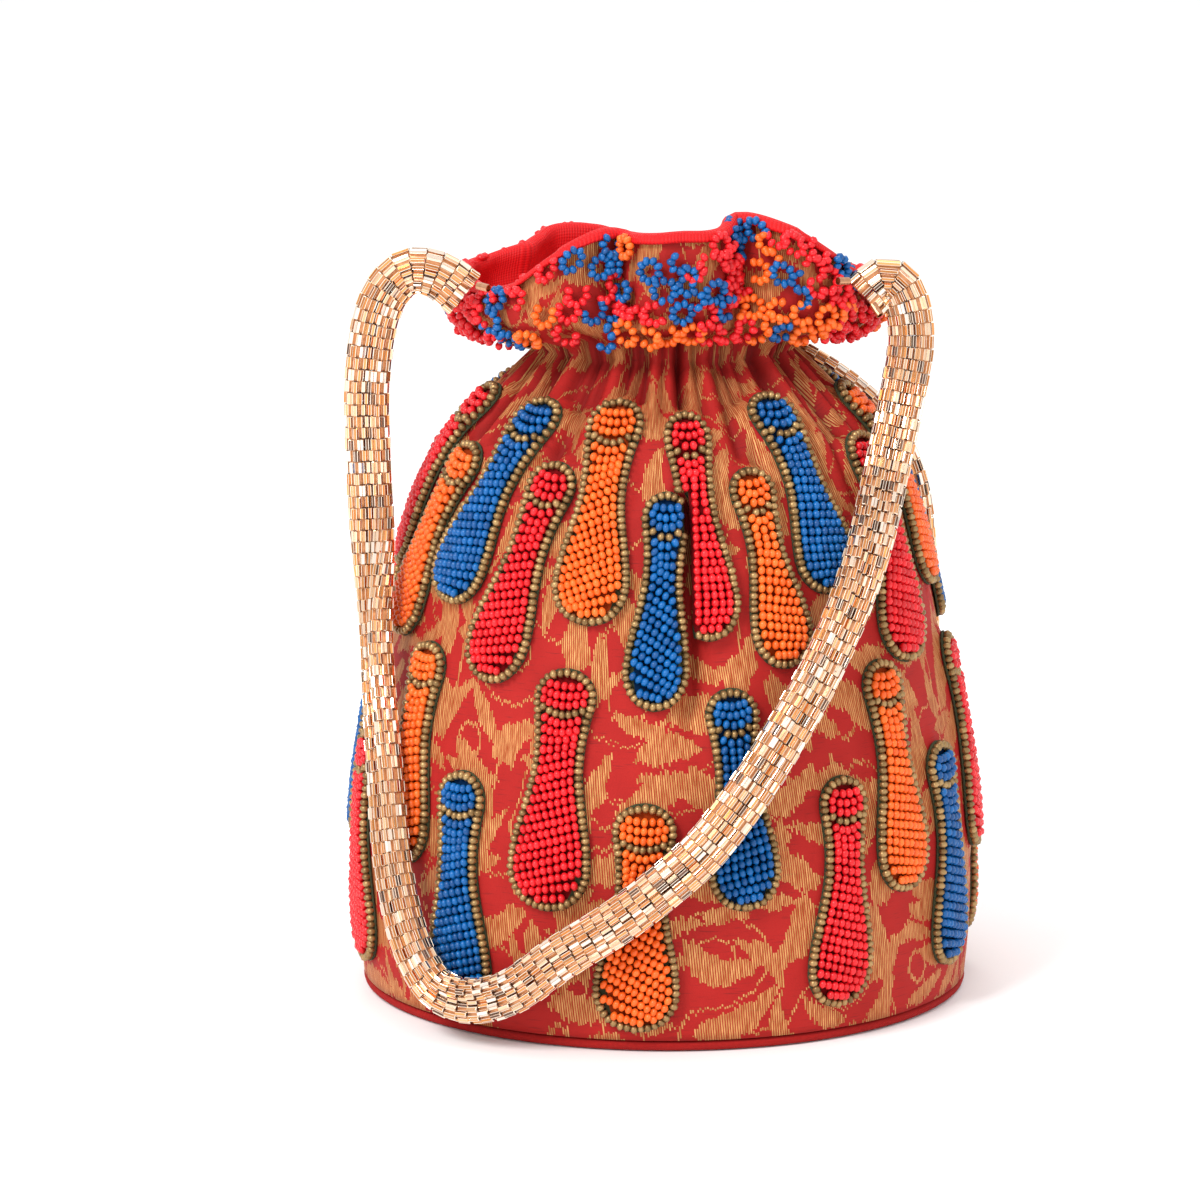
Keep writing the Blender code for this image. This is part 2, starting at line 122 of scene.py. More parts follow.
def to_range(tree, value, low, high, least=0.0, most=1.0):
    """Output of a value carried from one range into another."""
    inputs = {"Value": value, 1: low, 2: high, 3: least, 4: most}
    return add_node(tree, "ShaderNodeMapRange", inputs).outputs[0]


def raise_bump(tree, surface, height, strength, distance=0.0002):
    """Lead a height into the shader's normal."""
    inputs = {"Strength": strength, "Distance": distance, "Height": height}
    bump = add_node(tree, "ShaderNodeBump", inputs)
    tree.links.new(bump.outputs["Normal"], surface.inputs["Normal"])


def mottled_finish(name, dark, light, scale, roughness, metallic=0.0, gloss=0.5, relief=0.0):
    """Finish that wanders between two colours by a fine grain, which may also raise it."""
    made, tree, surface = start_finish(name, roughness, metallic, gloss)
    fine = grain(tree, scale)
    tree.links.new(colour_mix(tree, fine, dark, light), surface.inputs["Base Color"])
    if relief:
        raise_bump(tree, surface, fine, relief)
    return made


bpy.ops.mesh.primitive_plane_add(size=14.0, location=(0.0, 0.0, -0.0003))
floor = bpy.context.object
floor.name = "floor"
floor.data.materials.append(
    mottled_finish("white_paper", (0.965, 0.965, 0.965), (0.985, 0.985, 0.985), 900.0, 0.9)
)

# Mesh straps: each is a limp band of rose-gold metal sleeves in staggered rows, in two
# soft lobes side by side on a copper cord. Both ends are squeezed flat and sewn to the ruffle.
FRONT_ROUTE = (
    (-47, -22, 170), (-54, -23, 175), (-61, -22, 175), (-67, -21, 167), (-70, -20, 150),
    (-70, -19, 130), (-69, -20, 108), (-68, -27, 85), (-66, -39, 61), (-64, -46, 40),
    (-60, -52, 23), (-54, -57, 13), (-46, -62, 11), (-36, -68, 15), (-25, -72, 24),
    (-12, -74, 33), (-2, -75, 41), (8, -74, 50), (17, -71, 61), (26, -66, 74),
    (34, -60, 87), (42, -51, 103), (47, -42, 116), (51, -31, 130), (55, -24, 147),
    (57, -21, 160), (55, -20, 170), (51, -20, 173), (46, -21, 169),
)
BACK_ROUTE = (
    (-47, 22, 166), (-44, 28, 159), (-34, 34, 154), (-18, 37, 152), (0, 38, 151),
    (14, 37, 150), (29, 34, 147), (49, 30, 134), (58, 28, 120), (62, 31, 102),
    (64, 38, 82), (62, 46, 61), (52, 57, 41), (36, 67, 30), (18, 73, 32),
    (3, 74, 46), (-6, 70, 65), (-9, 65, 86), (-5, 60, 108), (4, 54, 128),
    (16, 49, 142), (28, 41, 153), (38, 30, 160), (43, 25, 164), (47, 22, 166),
)
STRAP_LENGTHS = {"front_strap": 0.425, "back_strap": 0.432}
ROW_PITCH = 0.00275
SLEEVE_RADIUS = 0.00078
LOBE_RADIUS = 0.00215
LOBE_PLACE = 0.00268
CORE_RADIUS = 0.00165
GROOVE_DEEP = 0.00125
# A sleeve's body and rims as shares of its pitch, its mouth's share of its width, its windows
SLEEVE_BODY, RIM_LONG, MOUTH_SHARE = 0.88, 0.05, 0.70
WINDOW_INSET, WINDOW_DEEP = 0.00013, 0.00005
SLEEVE_SWAY = 0.16
SPREAD_AT_ENDS = 0.25
# How thick the lobes are at shares of the strap's length: its ends are squeezed flat
SQUEEZE = ((0.0, 0.45), (0.035, 1.0), (0.965, 1.0), (1.0, 0.45))


def blend(points, x):
    """Read a smooth curve through (x, y) points, held level past its ends."""
    if x <= points[0][0]:
        return points[0][1]
    if x >= points[-1][0]:
        return points[-1][1]
    at = max(i for i in range(len(points) - 1) if points[i][0] <= x)

    def slope(i):
        low, high = max(i - 1, 0), min(i + 1, len(points) - 1)
        return (points[high][1] - points[low][1]) / (points[high][0] - points[low][0])

    (x0, y0), (x1, y1) = points[at], points[at + 1]
    step = x1 - x0
    s = (x - x0) / step
    return (
        y0 * (1 + 2 * s) * (1 - s) ** 2 + y1 * s * s * (3 - 2 * s)
        + step * (slope(at) * s * (1 - s) ** 2 - slope(at + 1) * s * s * (1 - s))
    )


def ease(low, high, x):
    """Rise smoothly from 0 at low to 1 at high."""
    s = min(max((x - low) / (high - low), 0.0), 1.0)
    return s * s * (3 - 2 * s)


def strap_line(route, count):
    """Evenly spaced places on the smooth curve through a strap's route points."""
    stops = [Vector(point) * 0.001 for point in route]
    reach = [0.0]
    for low, high in zip(stops, stops[1:]):
        reach.append(reach[-1] + (high - low).length)
    axes = [list(zip(reach, (point[k] for point in stops))) for k in range(3)]
    fine = np.array([[blend(axis, reach[-1] * i / 1200) for axis in axes] for i in range(1201)])
    run = np.concatenate([[0.0], np.cumsum(np.linalg.norm(np.diff(fine, axis=0), axis=1))])
    spots = np.linspace(0.0, run[-1], count)
    return np.stack([np.interp(spots, run, fine[:, k]) for k in range(3)], axis=1)


def unit(rows):
    """Each row of an array as a unit vector."""
    return rows / np.linalg.norm(rows, axis=-1, keepdims=True)


def take_template(made):
    """Corners and faces of a piece that is copied many times; the piece itself goes."""
    mesh = made.data
    corners = np.array([v.co[:] for v in mesh.vertices])
    faces = [tuple(face.vertices) for face in mesh.polygons]
    marks = [face.material_index for face in mesh.polygons]
    bpy.data.objects.remove(made, do_unlink=True)
    return corners, faces, marks


def lay_copies(template, axes, centres, tones, smooth=False):
    """One mesh of a template's copies: a 3 x 3 array of axes, a centre and a tone for each."""
    corners, faces, marks = template
    count, size = len(centres), len(corners)
    places = np.einsum("vk,mkj->mvj", corners, axes) + centres[:, None, :]
    flat = np.array([v for face in faces for v in face])
    starts = np.cumsum([0] + [len(face) for face in faces])
    mesh = bpy.data.meshes.new("copies")
    mesh.vertices.add(count * size)
    mesh.vertices.foreach_set("co", places.reshape(-1).astype(np.float32))
    mesh.loops.add(count * len(flat))
    steps = np.arange(count)[:, None]
    mesh.loops.foreach_set("vertex_index", (flat[None, :] + steps * size).reshape(-1))
    mesh.polygons.add(count * len(faces))
    mesh.polygons.foreach_set("loop_start", (starts[None, :-1] + steps * len(flat)).reshape(-1))
    mesh.polygons.foreach_set("material_index", np.tile(marks, count))
    mesh.polygons.foreach_set("use_smooth", [smooth] * (count * len(faces)))
    mesh.update(calc_edges=True)
    tone = mesh.attributes.new("tone", "FLOAT", "POINT")
    tone.data.foreach_set("value", np.repeat(np.asarray(tones, dtype=np.float32), size))
    return mesh


def add_piece(name, mesh, *finishes):
    """Object at the origin for a mesh, with its materials, riding on the bag."""
    mesh.name = name
    for finish in finishes:
        mesh.materials.append(finish)
    made = bpy.data.objects.new(name, mesh)
    bpy.context.scene.collection.objects.link(made)
    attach(made, "root")
    return made


def skin_tubes(tubes):
    """One smooth mesh of closed tubes, each an array of rings of corners."""
    corners, faces = [], []
    for rings in tubes:
        first, (count, sides, _) = len(corners), rings.shape
        corners += [tuple(point) for point in rings.reshape(-1, 3)]
        for i in range(count - 1):
            for j in range(sides):
                k = (j + 1) % sides
                low, high = first + sides * i, first + sides * (i + 1)
                faces.append((low + j, high + j, high + k, low + k))
        faces.append(tuple(range(first, first + sides)))
        faces.append(tuple(reversed(range(first + sides * (count - 1), first + sides * count))))
    mesh = bpy.data.meshes.new("tubes")
    mesh.from_pydata(corners, [], faces)
    mesh.polygons.foreach_set("use_smooth", [True] * len(faces))
    return mesh


def select_only(piece, kind, test):
    """Go into edit mode with only those faces or edges of a piece selected that pass a test."""
    bpy.ops.object.mode_set(mode="EDIT")
    bpy.ops.mesh.select_mode(type=kind)
    bpy.ops.mesh.select_all(action="DESELECT")
    bpy.ops.object.mode_set(mode="OBJECT")
    for part in piece.data.polygons if kind == "FACE" else piece.data.edges:
        part.select = test(part)
    bpy.ops.object.mode_set(mode="EDIT")


# The sleeve is a six-sided tube a unit long, with turned-in rims round its mouths; their caps are
# painted dark, as painted shade for the hollow inside
bpy.ops.mesh.primitive_cylinder_add(
    vertices=6, radius=SLEEVE_RADIUS, depth=SLEEVE_BODY, end_fill_type="NGON"
)
sleeve = bpy.context.object
for side in (-1.0, 1.0):
    select_only(sleeve, "FACE", lambda face: face.normal.z * side > 0.9)
    bpy.ops.mesh.extrude_region_move(TRANSFORM_OT_translate={"value": (0.0, 0.0, RIM_LONG * side)})
    bpy.ops.transform.resize(value=(MOUTH_SHARE, MOUTH_SHARE, 1.0))
select_only(sleeve, "FACE", lambda face: face.normal.x > 0.4 and abs(face.center.z) < 0.1)
bpy.ops.mesh.inset(thickness=WINDOW_INSET, depth=-WINDOW_DEEP, use_individual=True)
bpy.ops.object.mode_set(mode="OBJECT")
for face in sleeve.data.polygons:
    face.material_index = 0 if face.select else 1
    # The end caps take the painted shade of the hollow sleeve
    if abs(face.normal.z) > 0.9:
        face.material_index = 2
sleeve_template = take_template(sleeve)

rose_gold, tree, surface = start_finish("rose_gold_sleeves", 0.16, 1.0)
# Painted reflection and shade: each sleeve's window takes a random tone from near-black through
# copper to near-white, standing for dark slots and the lamps' white glints
tone = add_node(tree, "ShaderNodeAttribute", attribute_name="tone").outputs["Fac"]
glint_and_shade_ramp = add_node(tree, "ShaderNodeValToRGB", {"Fac": tone})
glint_and_shade_ramp.color_ramp.elements[0].color = (0.14, 0.08, 0.06, 1.0)
glint_and_shade_ramp.color_ramp.elements[1].color = (1.0, 0.93, 0.86, 1.0)
for stop, shade in (
    (0.07, (0.20, 0.11, 0.07)), (0.11, (0.58, 0.20, 0.05)),
    (0.55, (0.78, 0.36, 0.13)), (0.80, (0.92, 0.62, 0.40)),
):
    glint_and_shade_ramp.color_ramp.elements.new(stop).color = (*shade, 1.0)
tree.links.new(glint_and_shade_ramp.outputs["Color"], surface.inputs["Base Color"])
rubbed = to_range(tree, grain(tree, 1400.0), 0.0, 1.0, 0.08, 0.30)
tree.links.new(rubbed, surface.inputs["Roughness"])
champagne = mottled_finish(
    "champagne_rims", (0.90, 0.72, 0.55), (0.97, 0.87, 0.76), 900.0, 0.22, 1.0
)
mouth_shade = mottled_finish(
    "mouth_shade", (0.05, 0.02, 0.012), (0.16, 0.06, 0.03), 700.0, 0.7
)
copper_cord = mottled_finish(
    "copper_cord", (0.55, 0.20, 0.08), (0.88, 0.45, 0.22), 1100.0, 0.35, 0.6, relief=0.5
)

chance = random.Random(41)
for node, route, back in (("front_strap", FRONT_ROUTE, 1.0), ("back_strap", BACK_ROUTE, -1.0)):
    rows = round(STRAP_LENGTHS[node] / ROW_PITCH)
    line = strap_line(route, rows + 1)
    ahead = unit(np.gradient(line, axis=0))
    # Flat against the bag where it lies on the body, facing the viewer where it hangs free
    level_out = line * np.array([1 / 0.073**2, 1 / 0.066**2, 0.0])
    facing = []
    for point, out in zip(line, unit(level_out)):
        free = ease(0.085, 0.125, point[2])
        forward = np.array([0.0, -back, 0.0])
        facing.append(out * (1.0 - free) + forward * free)
    across = unit(np.cross(ahead, unit(np.array(facing))))
    outward = np.cross(across, ahead)
    squeeze = np.array([blend(SQUEEZE, i / rows) for i in range(rows + 1)])
    centres, axes, tones = [], [], []
    for row in range(rows):
        for lobe in (-1.0, 1.0):
            for step in range(6):
                angle = math.radians(60.0 * step + (30.0 if row % 2 else 0.0))
                wide = lobe * LOBE_PLACE + LOBE_RADIUS * math.sin(angle)
                deep = LOBE_RADIUS * math.cos(angle)
                if row % 2 and math.sin(angle) * lobe < -0.9:
                    # The lobes share a sleeve on each side of the groove between them
                    angle = math.pi if lobe > 0.0 else 0.0
                    wide, deep = 0.0, GROOVE_DEEP * math.cos(angle)
                ends = [
                    line[i] + across[i] * wide * (1.0 + SPREAD_AT_ENDS * (1.0 - squeeze[i]))
                    + outward[i] * deep * squeeze[i]
                    for i in (row, row + 1)
                ]
                run = ends[1] - ends[0]
                radial = across[row] * math.sin(angle) + outward[row] * math.cos(angle)
                radial -= run * (radial @ run) / (run @ run)
                radial /= np.linalg.norm(radial)
                sway = chance.uniform(-SLEEVE_SWAY, SLEEVE_SWAY)
                beside = np.cross(run, radial) / np.linalg.norm(run)
                turned = radial * math.cos(sway) + beside * math.sin(sway)
                centres.append((ends[0] + ends[1]) / 2)
                axes.append((turned, np.cross(run, turned) / np.linalg.norm(run), run))
                tones.append(chance.random())
    band = lay_copies(sleeve_template, np.array(axes), np.array(centres), tones)
    ring = np.arange(8, 0, -1) * math.tau / 8
    cores = []
    for lobe in (-1.0, 1.0):
        wide = lobe * LOBE_PLACE + CORE_RADIUS * np.sin(ring)[None, :, None]
        deep = CORE_RADIUS * np.cos(ring)[None, :, None] * squeeze[:, None, None]
        cores.append(line[:, None, :] + across[:, None, :] * wide + outward[:, None, :] * deep)
    cords = add_piece(f"{node}_cords", skin_tubes(cores), copper_cord)
    strap = add_piece(f"{node}_sleeves", band, rose_gold, champagne, mouth_shade)
    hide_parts(node)

# Brocade cloth: one gathered shell of red silk with gold thread foliage, sewn to the base,
# drawn in by an elastic at the neck and flaring into a ruffle above it. Angle 0 is the
# middle of the front, and angles grow towards +X; level 0 is the base, 1 the neck, 2 the rim.
BASE_HALF_WIDTH, BASE_HALF_DEPTH = 0.0730, 0.0660
NECK_HALF_WIDTH, NECK_HALF_DEPTH = 0.0320, 0.0225
NECK_HEIGHT = 0.1550
FOOT = 0.00255
BODY_SHAPE = (
    (0.000, 1.000), (0.116, 1.034), (0.271, 1.017), (0.432, 0.930), (0.590, 0.800),
    (0.684, 0.720), (0.781, 0.610), (0.877, 0.430), (0.940, 0.215), (1.000, 0.000),
)
RUFFLE_HALF_WIDTH, RUFFLE_HALF_DEPTH = 0.0510, 0.0340
FLARE = ((0.0, 0.0), (0.08, 0.16), (0.25, 0.74), (0.60, 1.0), (1.0, 0.96))
RIM_HEIGHTS = (
    (-88, 0.0165), (-62, 0.0150), (-46, 0.0168), (-36, 0.0222), (-28, 0.0266), (-20, 0.0298),
    (-13, 0.0290), (2, 0.0300), (16, 0.0305), (26, 0.0330), (37, 0.0300), (49, 0.0245),
    (61, 0.0195), (75, 0.0165), (92, 0.0160), (130, 0.0165), (160, 0.0175), (180, 0.0190),
    (190, 0.0210), (200, 0.0235), (212, 0.0238), (226, 0.0210), (242, 0.0180), (272, 0.0165),
)
FOLDS = ((-16, 0.0100), (24, 0.0105), (132, 0.0050), (180, 0.0055), (228, 0.0050))
FOLD_SPREAD = 15.0
PLEATS = 20
FIRST_VALLEY = 4.6
PLEAT_WANDER = 2.3
PLEAT_DEPTH = 0.0040
RUFFLE_PLEAT_DEPTH = 0.0010
CREASE_DEPTH, CREASE_FOOT, CREASE_TOP = 0.0065, 0.42, 0.815
FINE_GATHERS, FINE_DEPTH = 42, 0.0028
# How far the cloth sinks where the valleys' painted shade is darkest
DEEP_VALLEY = 0.0055
CLOTH_AROUND, CLOTH_UP, RUFFLE_UP = 336, 80, 24
CLOTH_THICKNESS = 0.0006
# The weave, in millimetres: gold strands and red threads
STRAND_APART, STRAND_SLANT, STRAND_RAGGED = 0.55, 0.10, 1.5
THREAD_APART = 0.36
STEM_EDGE = 0.90
# Beaded drops, as they lie on the cloth: cap angle, cap height, toe angle and toe height
# (heights as shares of the neck's), width share, colour and the slant of the bead rows
FRONT_DROPS = (
    (-74, 0.945, -90, 0.660, 0.88, "red", 20), (-60, 0.870, -73, 0.570, 0.88, "orange", 24),
    (-40, 0.940, -54, 0.640, 0.92, "blue", -22), (-28, 0.860, -39, 0.535, 0.88, "red", -26),
    (-15, 0.945, -17, 0.630, 0.95, "orange", -28), (5, 0.930, 9, 0.610, 0.80, "red", 4),
    (0, 0.825, -3, 0.510, 0.82, "blue", 32), (20, 0.855, 25, 0.565, 0.80, "orange", 18),
    (33, 0.950, 38, 0.665, 0.88, "blue", 12), (62, 0.885, 57, 0.545, 0.95, "red", 14),
    (-56, 0.580, -56, 0.240, 0.92, "orange", -18), (-20, 0.570, -22, 0.210, 1.05, "red", -20),
    (12, 0.545, 14, 0.215, 0.90, "blue", -12), (47, 0.563, 48, 0.210, 0.88, "orange", 16),
    (-79, 0.415, -73, 0.055, 0.90, "red", 14), (-41, 0.405, -40, 0.035, 0.95, "blue", -18),
    (-4, 0.380, -6, 0.030, 1.05, "orange", 28), (34, 0.405, 32, 0.052, 0.90, "red", 16),
    (63, 0.420, 64, 0.068, 0.90, "blue", 20),
)
# Rows that go on round the back: first and last angle, count, cap and toe height
BACK_ROWS = (
    (80, 236, 5, 0.945, 0.635), (99.5, 255.5, 5, 0.860, 0.558), (83, 265, 6, 0.560, 0.220),
    (101, 248, 5, 0.400, 0.050),
)
BACK_WIDTH_SHARE = 0.92
COLOURS = ("orange", "blue", "red")
# A drop's half widths at shares of its length, cap first
DROP_OUTLINE = (
    (0.0, 0.0), (0.010, 0.0030), (0.030, 0.0049), (0.060, 0.0064), (0.10, 0.0073),
    (0.15, 0.0073), (0.22, 0.0066), (0.32, 0.0061), (0.42, 0.0062), (0.54, 0.0073),
    (0.66, 0.0088), (0.76, 0.0097), (0.84, 0.0098), (0.90, 0.0088), (0.95, 0.0069),
    (0.985, 0.0040), (1.0, 0.0),
)


def turn(angle):
    """Bring an angle into the range -180 to 180 degrees."""
    return (angle + 180.0) % 360.0 - 180.0


def valley_angle(index):
    """Angle of one gather's valley: evenly spaced with a steady wander."""
    number = index % PLEATS
    return FIRST_VALLEY + 360.0 * index / PLEATS + PLEAT_WANDER * math.sin(2.1 * number)


def pleat_place(angle):
    """Index of the gather that holds an angle, and the share of the way across it."""
    start = FIRST_VALLEY - PLEAT_WANDER - 1.0
    around = start + (angle - start) % 360.0
    index = int((around - FIRST_VALLEY) * PLEATS / 360.0) - 1
    while valley_angle(index + 1) <= around:
        index += 1
    low, high = valley_angle(index), valley_angle(index + 1)
    return index % PLEATS, min(max((around - low) / (high - low), 0.0), 1.0)


def pleat_cut(angle, level):
    """How far the cloth sinks between two gathers at an angle and a level."""
    index, share = pleat_place(angle)
    near = index if share < 0.5 else (index + 1) % PLEATS
    foot = 0.56 + 0.09 * math.sin(2.4 * near)
    depth = PLEAT_DEPTH * ease(foot, 0.96, level)
    if near == 0:
        crease = CREASE_DEPTH * ease(CREASE_FOOT, CREASE_FOOT + 0.15, level)
        depth = max(depth, crease * (1.0 - ease(0.86, 0.97, level)))
    if level > 1.0:
        depth += (RUFFLE_PLEAT_DEPTH - depth) * ease(1.0, 1.3, level)
    return depth * (1.0 - math.sin(math.pi * share) ** 0.7)


def rim_height(angle):
    """Height of the ruffle's rim above the neck."""
    first = RIM_HEIGHTS[0][0]
    return blend(RIM_HEIGHTS, first + (angle - first) % 360.0)


def fold_cut(angle):
    """How far the ruffle's folds cut in at an angle."""
    return sum(
        depth * max(0.0, 1.0 - abs(turn(angle - middle)) / FOLD_SPREAD) ** 1.4
        for middle, depth in FOLDS
    )


def smooth_point(angle, level):
    """Cloth surface without gathers."""
    if level <= 1.0:
        share = blend(BODY_SHAPE, level)
        half_width = NECK_HALF_WIDTH + (BASE_HALF_WIDTH - NECK_HALF_WIDTH) * share
        half_depth = NECK_HALF_DEPTH + (BASE_HALF_DEPTH - NECK_HALF_DEPTH) * share
        height = FOOT + (NECK_HEIGHT - FOOT) * level
    else:
        share = blend(FLARE, level - 1.0)
        cut = fold_cut(angle) * ease(0.05, 0.6, level - 1.0)
        half_width = NECK_HALF_WIDTH + (RUFFLE_HALF_WIDTH - NECK_HALF_WIDTH) * share - cut
        half_depth = NECK_HALF_DEPTH + (RUFFLE_HALF_DEPTH - NECK_HALF_DEPTH) * share - cut
        height = NECK_HEIGHT + rim_height(angle) * (level - 1.0)
    a = math.radians(angle)
    return Vector((half_width * math.sin(a), -half_depth * math.cos(a), height))


def smooth_normal(angle, level):
    """Outward direction of the cloth without gathers."""
    low, high = max(level - 0.01, 0.0), min(level + 0.01, 2.0)
    along = smooth_point(angle, high) - smooth_point(angle, low)
    around = smooth_point(angle + 1.0, level) - smooth_point(angle - 1.0, level)
    return around.cross(along).normalized()


def level_at(height):
    """Body level at a height given as a share of the neck height."""
    return (height * NECK_HEIGHT - FOOT) / (NECK_HEIGHT - FOOT)


def crease_side(middle):
    """-1 or 1 for a drop that the front's deep crease cuts, by its side, or else 0."""
    apart = middle - valley_angle(0)
    return math.copysign(1.0, apart) if abs(apart) <= 14.0 else 0.0


drops = [
    ((a, level_at(h)), (b, level_at(low)), share, colour, slant)
    for a, h, b, low, share, colour, slant in FRONT_DROPS
]
for row, (first, last, count, high, low) in enumerate(BACK_ROWS):
    for i in range(count):
        angle = first + (last - first) * i / (count - 1)
        slant = (16, -20, 24, -14)[(row + 2 * i) % 4]
        colour = COLOURS[(row + i) % len(COLOURS)]
        ends = (angle, level_at(high)), (angle, level_at(low))
        drops.append((*ends, BACK_WIDTH_SHARE, colour, slant))


def covered(angle, level):
    """How far a stiff drop holds the cloth smooth at a place, from 0 to 1."""
    most = 0.0
    if not 0.0 < level < 1.05:
        return most
    per_degree = 0.0
    for cap, toe, share, _, _ in drops:
        down = (cap[1] - level) / (cap[1] - toe[1])
        if not -0.12 < down < 1.12:
            continue
        inside = min(max(down, 0.0), 1.0)
        middle = cap[0] + (toe[0] - cap[0]) * inside
        apart = abs(turn(angle - middle))
        if apart > 20.0:
            continue
        per_degree = per_degree or (smooth_point(angle, level).xy.length * math.pi / 180.0)
        beside = apart * per_degree - 0.85 * blend(DROP_OUTLINE, inside) * share
        beyond = abs(down - inside) * 0.052
        holds = 1.0 - ease(0.0, 0.0035, math.hypot(max(beside, 0.0), beyond))
        if crease_side((cap[0] + toe[0]) / 2) and level < CREASE_TOP:
            holds *= ease(0.8, 5.0, abs(turn(angle - valley_angle(0))))
        most = max(most, holds)
    return most


def cloth_cut(angle, level):
    """How far the finished cloth lies inside the smooth surface."""
    free = 1.0 - covered(angle, level)
    soft = noise.noise(smooth_point(angle, level) * 62.0) * 0.5 + 0.5
    cut = pleat_cut(angle, level) + 0.0009 * soft * ease(0.02, 0.15, level)
    tucked = ease(0.66, 0.95, level) * (1.0 - ease(1.03, 1.22, level))
    if tucked > 0.0:
        a = math.radians(angle)
        wave = abs(math.sin(FINE_GATHERS / 2 * a + 1.3 * math.sin(5.0 * a) + 0.9 * level))
        cut += FINE_DEPTH * tucked * (1.0 - wave) ** 1.2
    return cut * free


def cloth_point(angle, level, lift=0.0):
    """Point on the finished cloth, or lifted off it."""
    out = smooth_normal(angle, level)
    return smooth_point(angle, level) + out * (lift - cloth_cut(angle, level))


def add_grid(name, rows, across, up, closed=True):
    """Sheet from rows of points, with a UV map of metres across and along the cloth."""
    count, sides = len(rows), len(rows[0])
    corners = [tuple(point) for row in rows for point in row]
    faces, places = [], []
    for i in range(count - 1):
        for j in range(sides if closed else sides - 1):
            k = (j + 1) % sides
            low, high = sides * i, sides * (i + 1)
            faces.append((low + j, low + k, high + k, high + j))
            places += [
                (across[j], up[i]), (across[j + 1], up[i]),
                (across[j + 1], up[i + 1]), (across[j], up[i + 1]),
            ]
    mesh = bpy.data.meshes.new(name)
    mesh.from_pydata(corners, [], faces)
    mesh.polygons.foreach_set("use_smooth", [True] * len(faces))
    layer = mesh.uv_layers.new(name="cloth")
    layer.data.foreach_set("uv", [value for place in places for value in place])
    return mesh


def thicken(piece, thickness):
    """Give a sheet its thickness on its inner side."""
    bpy.ops.object.select_all(action="DESELECT")
    bpy.context.view_layer.objects.active = piece
    solid = piece.modifiers.new("thickness", "SOLIDIFY")
    solid.thickness = thickness
    solid.offset = -1.0
    bpy.ops.object.modifier_apply(modifier=solid.name)


angles = [180.0 + 360.0 * i / CLOTH_AROUND for i in range(CLOTH_AROUND)]
levels = [i / CLOTH_UP for i in range(CLOTH_UP)]
levels += [1.0 + i / RUFFLE_UP for i in range(RUFFLE_UP + 1)]
rows = [[cloth_point(angle, level) for angle in angles] for level in levels]
widths = [0.44 * i / CLOTH_AROUND for i in range(CLOTH_AROUND + 1)]
heights = [0.0]
for low, high in zip(levels, levels[1:]):
    heights.append(heights[-1] + (smooth_point(0.0, high) - smooth_point(0.0, low)).length)


def vector_maths(tree, operation, first, others):
    """Output of a Vector Math node on another node's output and other inputs."""
    inputs = {0: first, **others}
    return add_node(tree, "ShaderNodeVectorMath", inputs, operation=operation).outputs[0]


def across_and_up(tree, place):
    """X and Y outputs of a place."""
    split = add_node(tree, "ShaderNodeSeparateXYZ", {"Vector": place})
    return split.outputs["X"], split.outputs["Y"]


def threads_over(tree, along, pitch):
    """Output of a wave over threads that lie a pitch apart."""
    return maths(tree, "SINE", maths(tree, "MULTIPLY", along, math.tau / pitch))


brocade, tree, surface = start_finish("red_gold_brocade", 0.62, 0.0, 0.15)
threads = add_node(tree, "ShaderNodeUVMap", uv_map="cloth").outputs["UV"]
scaled = vector_maths(tree, "SCALE", threads, {3: 1000.0})
across, along = across_and_up(tree, scaled)
# Gold strands, slanted a little, each starting and ending at its own height; in millimetres
slant = maths(tree, "MULTIPLY_ADD", along, STRAND_SLANT, across)
strand = maths(tree, "DIVIDE", slant, STRAND_APART)
strand_number = maths(tree, "FLOOR", strand)
strand_share = maths(tree, "FRACT", strand)
own = add_node(tree, "ShaderNodeTexWhiteNoise", {"W": strand_number}, noise_dimensions="1D")
ragged = maths(tree, "MULTIPLY_ADD", own.outputs["Value"], STRAND_RAGGED, along)
snapped = maths(tree, "MULTIPLY", strand_number, STRAND_APART)
snapped = maths(tree, "SUBTRACT", snapped, maths(tree, "MULTIPLY", along, STRAND_SLANT))
leaf_place = add_node(tree, "ShaderNodeCombineXYZ", {"X": snapped, "Y": ragged}).outputs[0]
# Foliage in two layers, with one bent, pointed leaf to a cell, turned its own way
leaves = []
for size, long, wide, start in ((19.0, 13.0, 3.6, 3.0), (14.0, 9.5, 2.2, 41.0)):
    moved = vector_maths(tree, "ADD", leaf_place, {1: (start, start * 1.7, 0.0)})
    cells = add_node(
        tree, "ShaderNodeTexVoronoi", {"Vector": moved, "Scale": 1.0 / size, "Randomness": 0.75},
        voronoi_dimensions="2D",
    )
    local = vector_maths(tree, "SUBTRACT", moved, {1: cells.outputs["Position"]})
    own_turn, own_bend = across_and_up(tree, cells.outputs["Color"])
    heading = maths(tree, "MULTIPLY_ADD", own_turn, 3.4, -1.7)
    inputs = {"Vector": local, "Angle": heading}
    turned = add_node(tree, "ShaderNodeVectorRotate", inputs, rotation_type="Z_AXIS").outputs[0]
    side, up = across_and_up(tree, turned)
    bend = maths(tree, "MULTIPLY_ADD", own_bend, 0.15, -0.075)
    side = maths(tree, "MULTIPLY_ADD", maths(tree, "MULTIPLY", up, up), bend, side)
    side = maths(tree, "MULTIPLY_ADD", bend, long * 4.0, side)
    # Wider low down, drawn out to a point above
    share = maths(tree, "DIVIDE", up, long)
    taper = maths(tree, "MULTIPLY_ADD", share, -0.35, 1.0)
    reach = maths(tree, "SUBTRACT", 1.0, maths(tree, "MULTIPLY", share, share))
    reach = maths(tree, "MULTIPLY", reach, taper)
    apart = maths(tree, "DIVIDE", maths(tree, "ABSOLUTE", side), wide)
    leaves.append(maths(tree, "SUBTRACT", reach, apart))
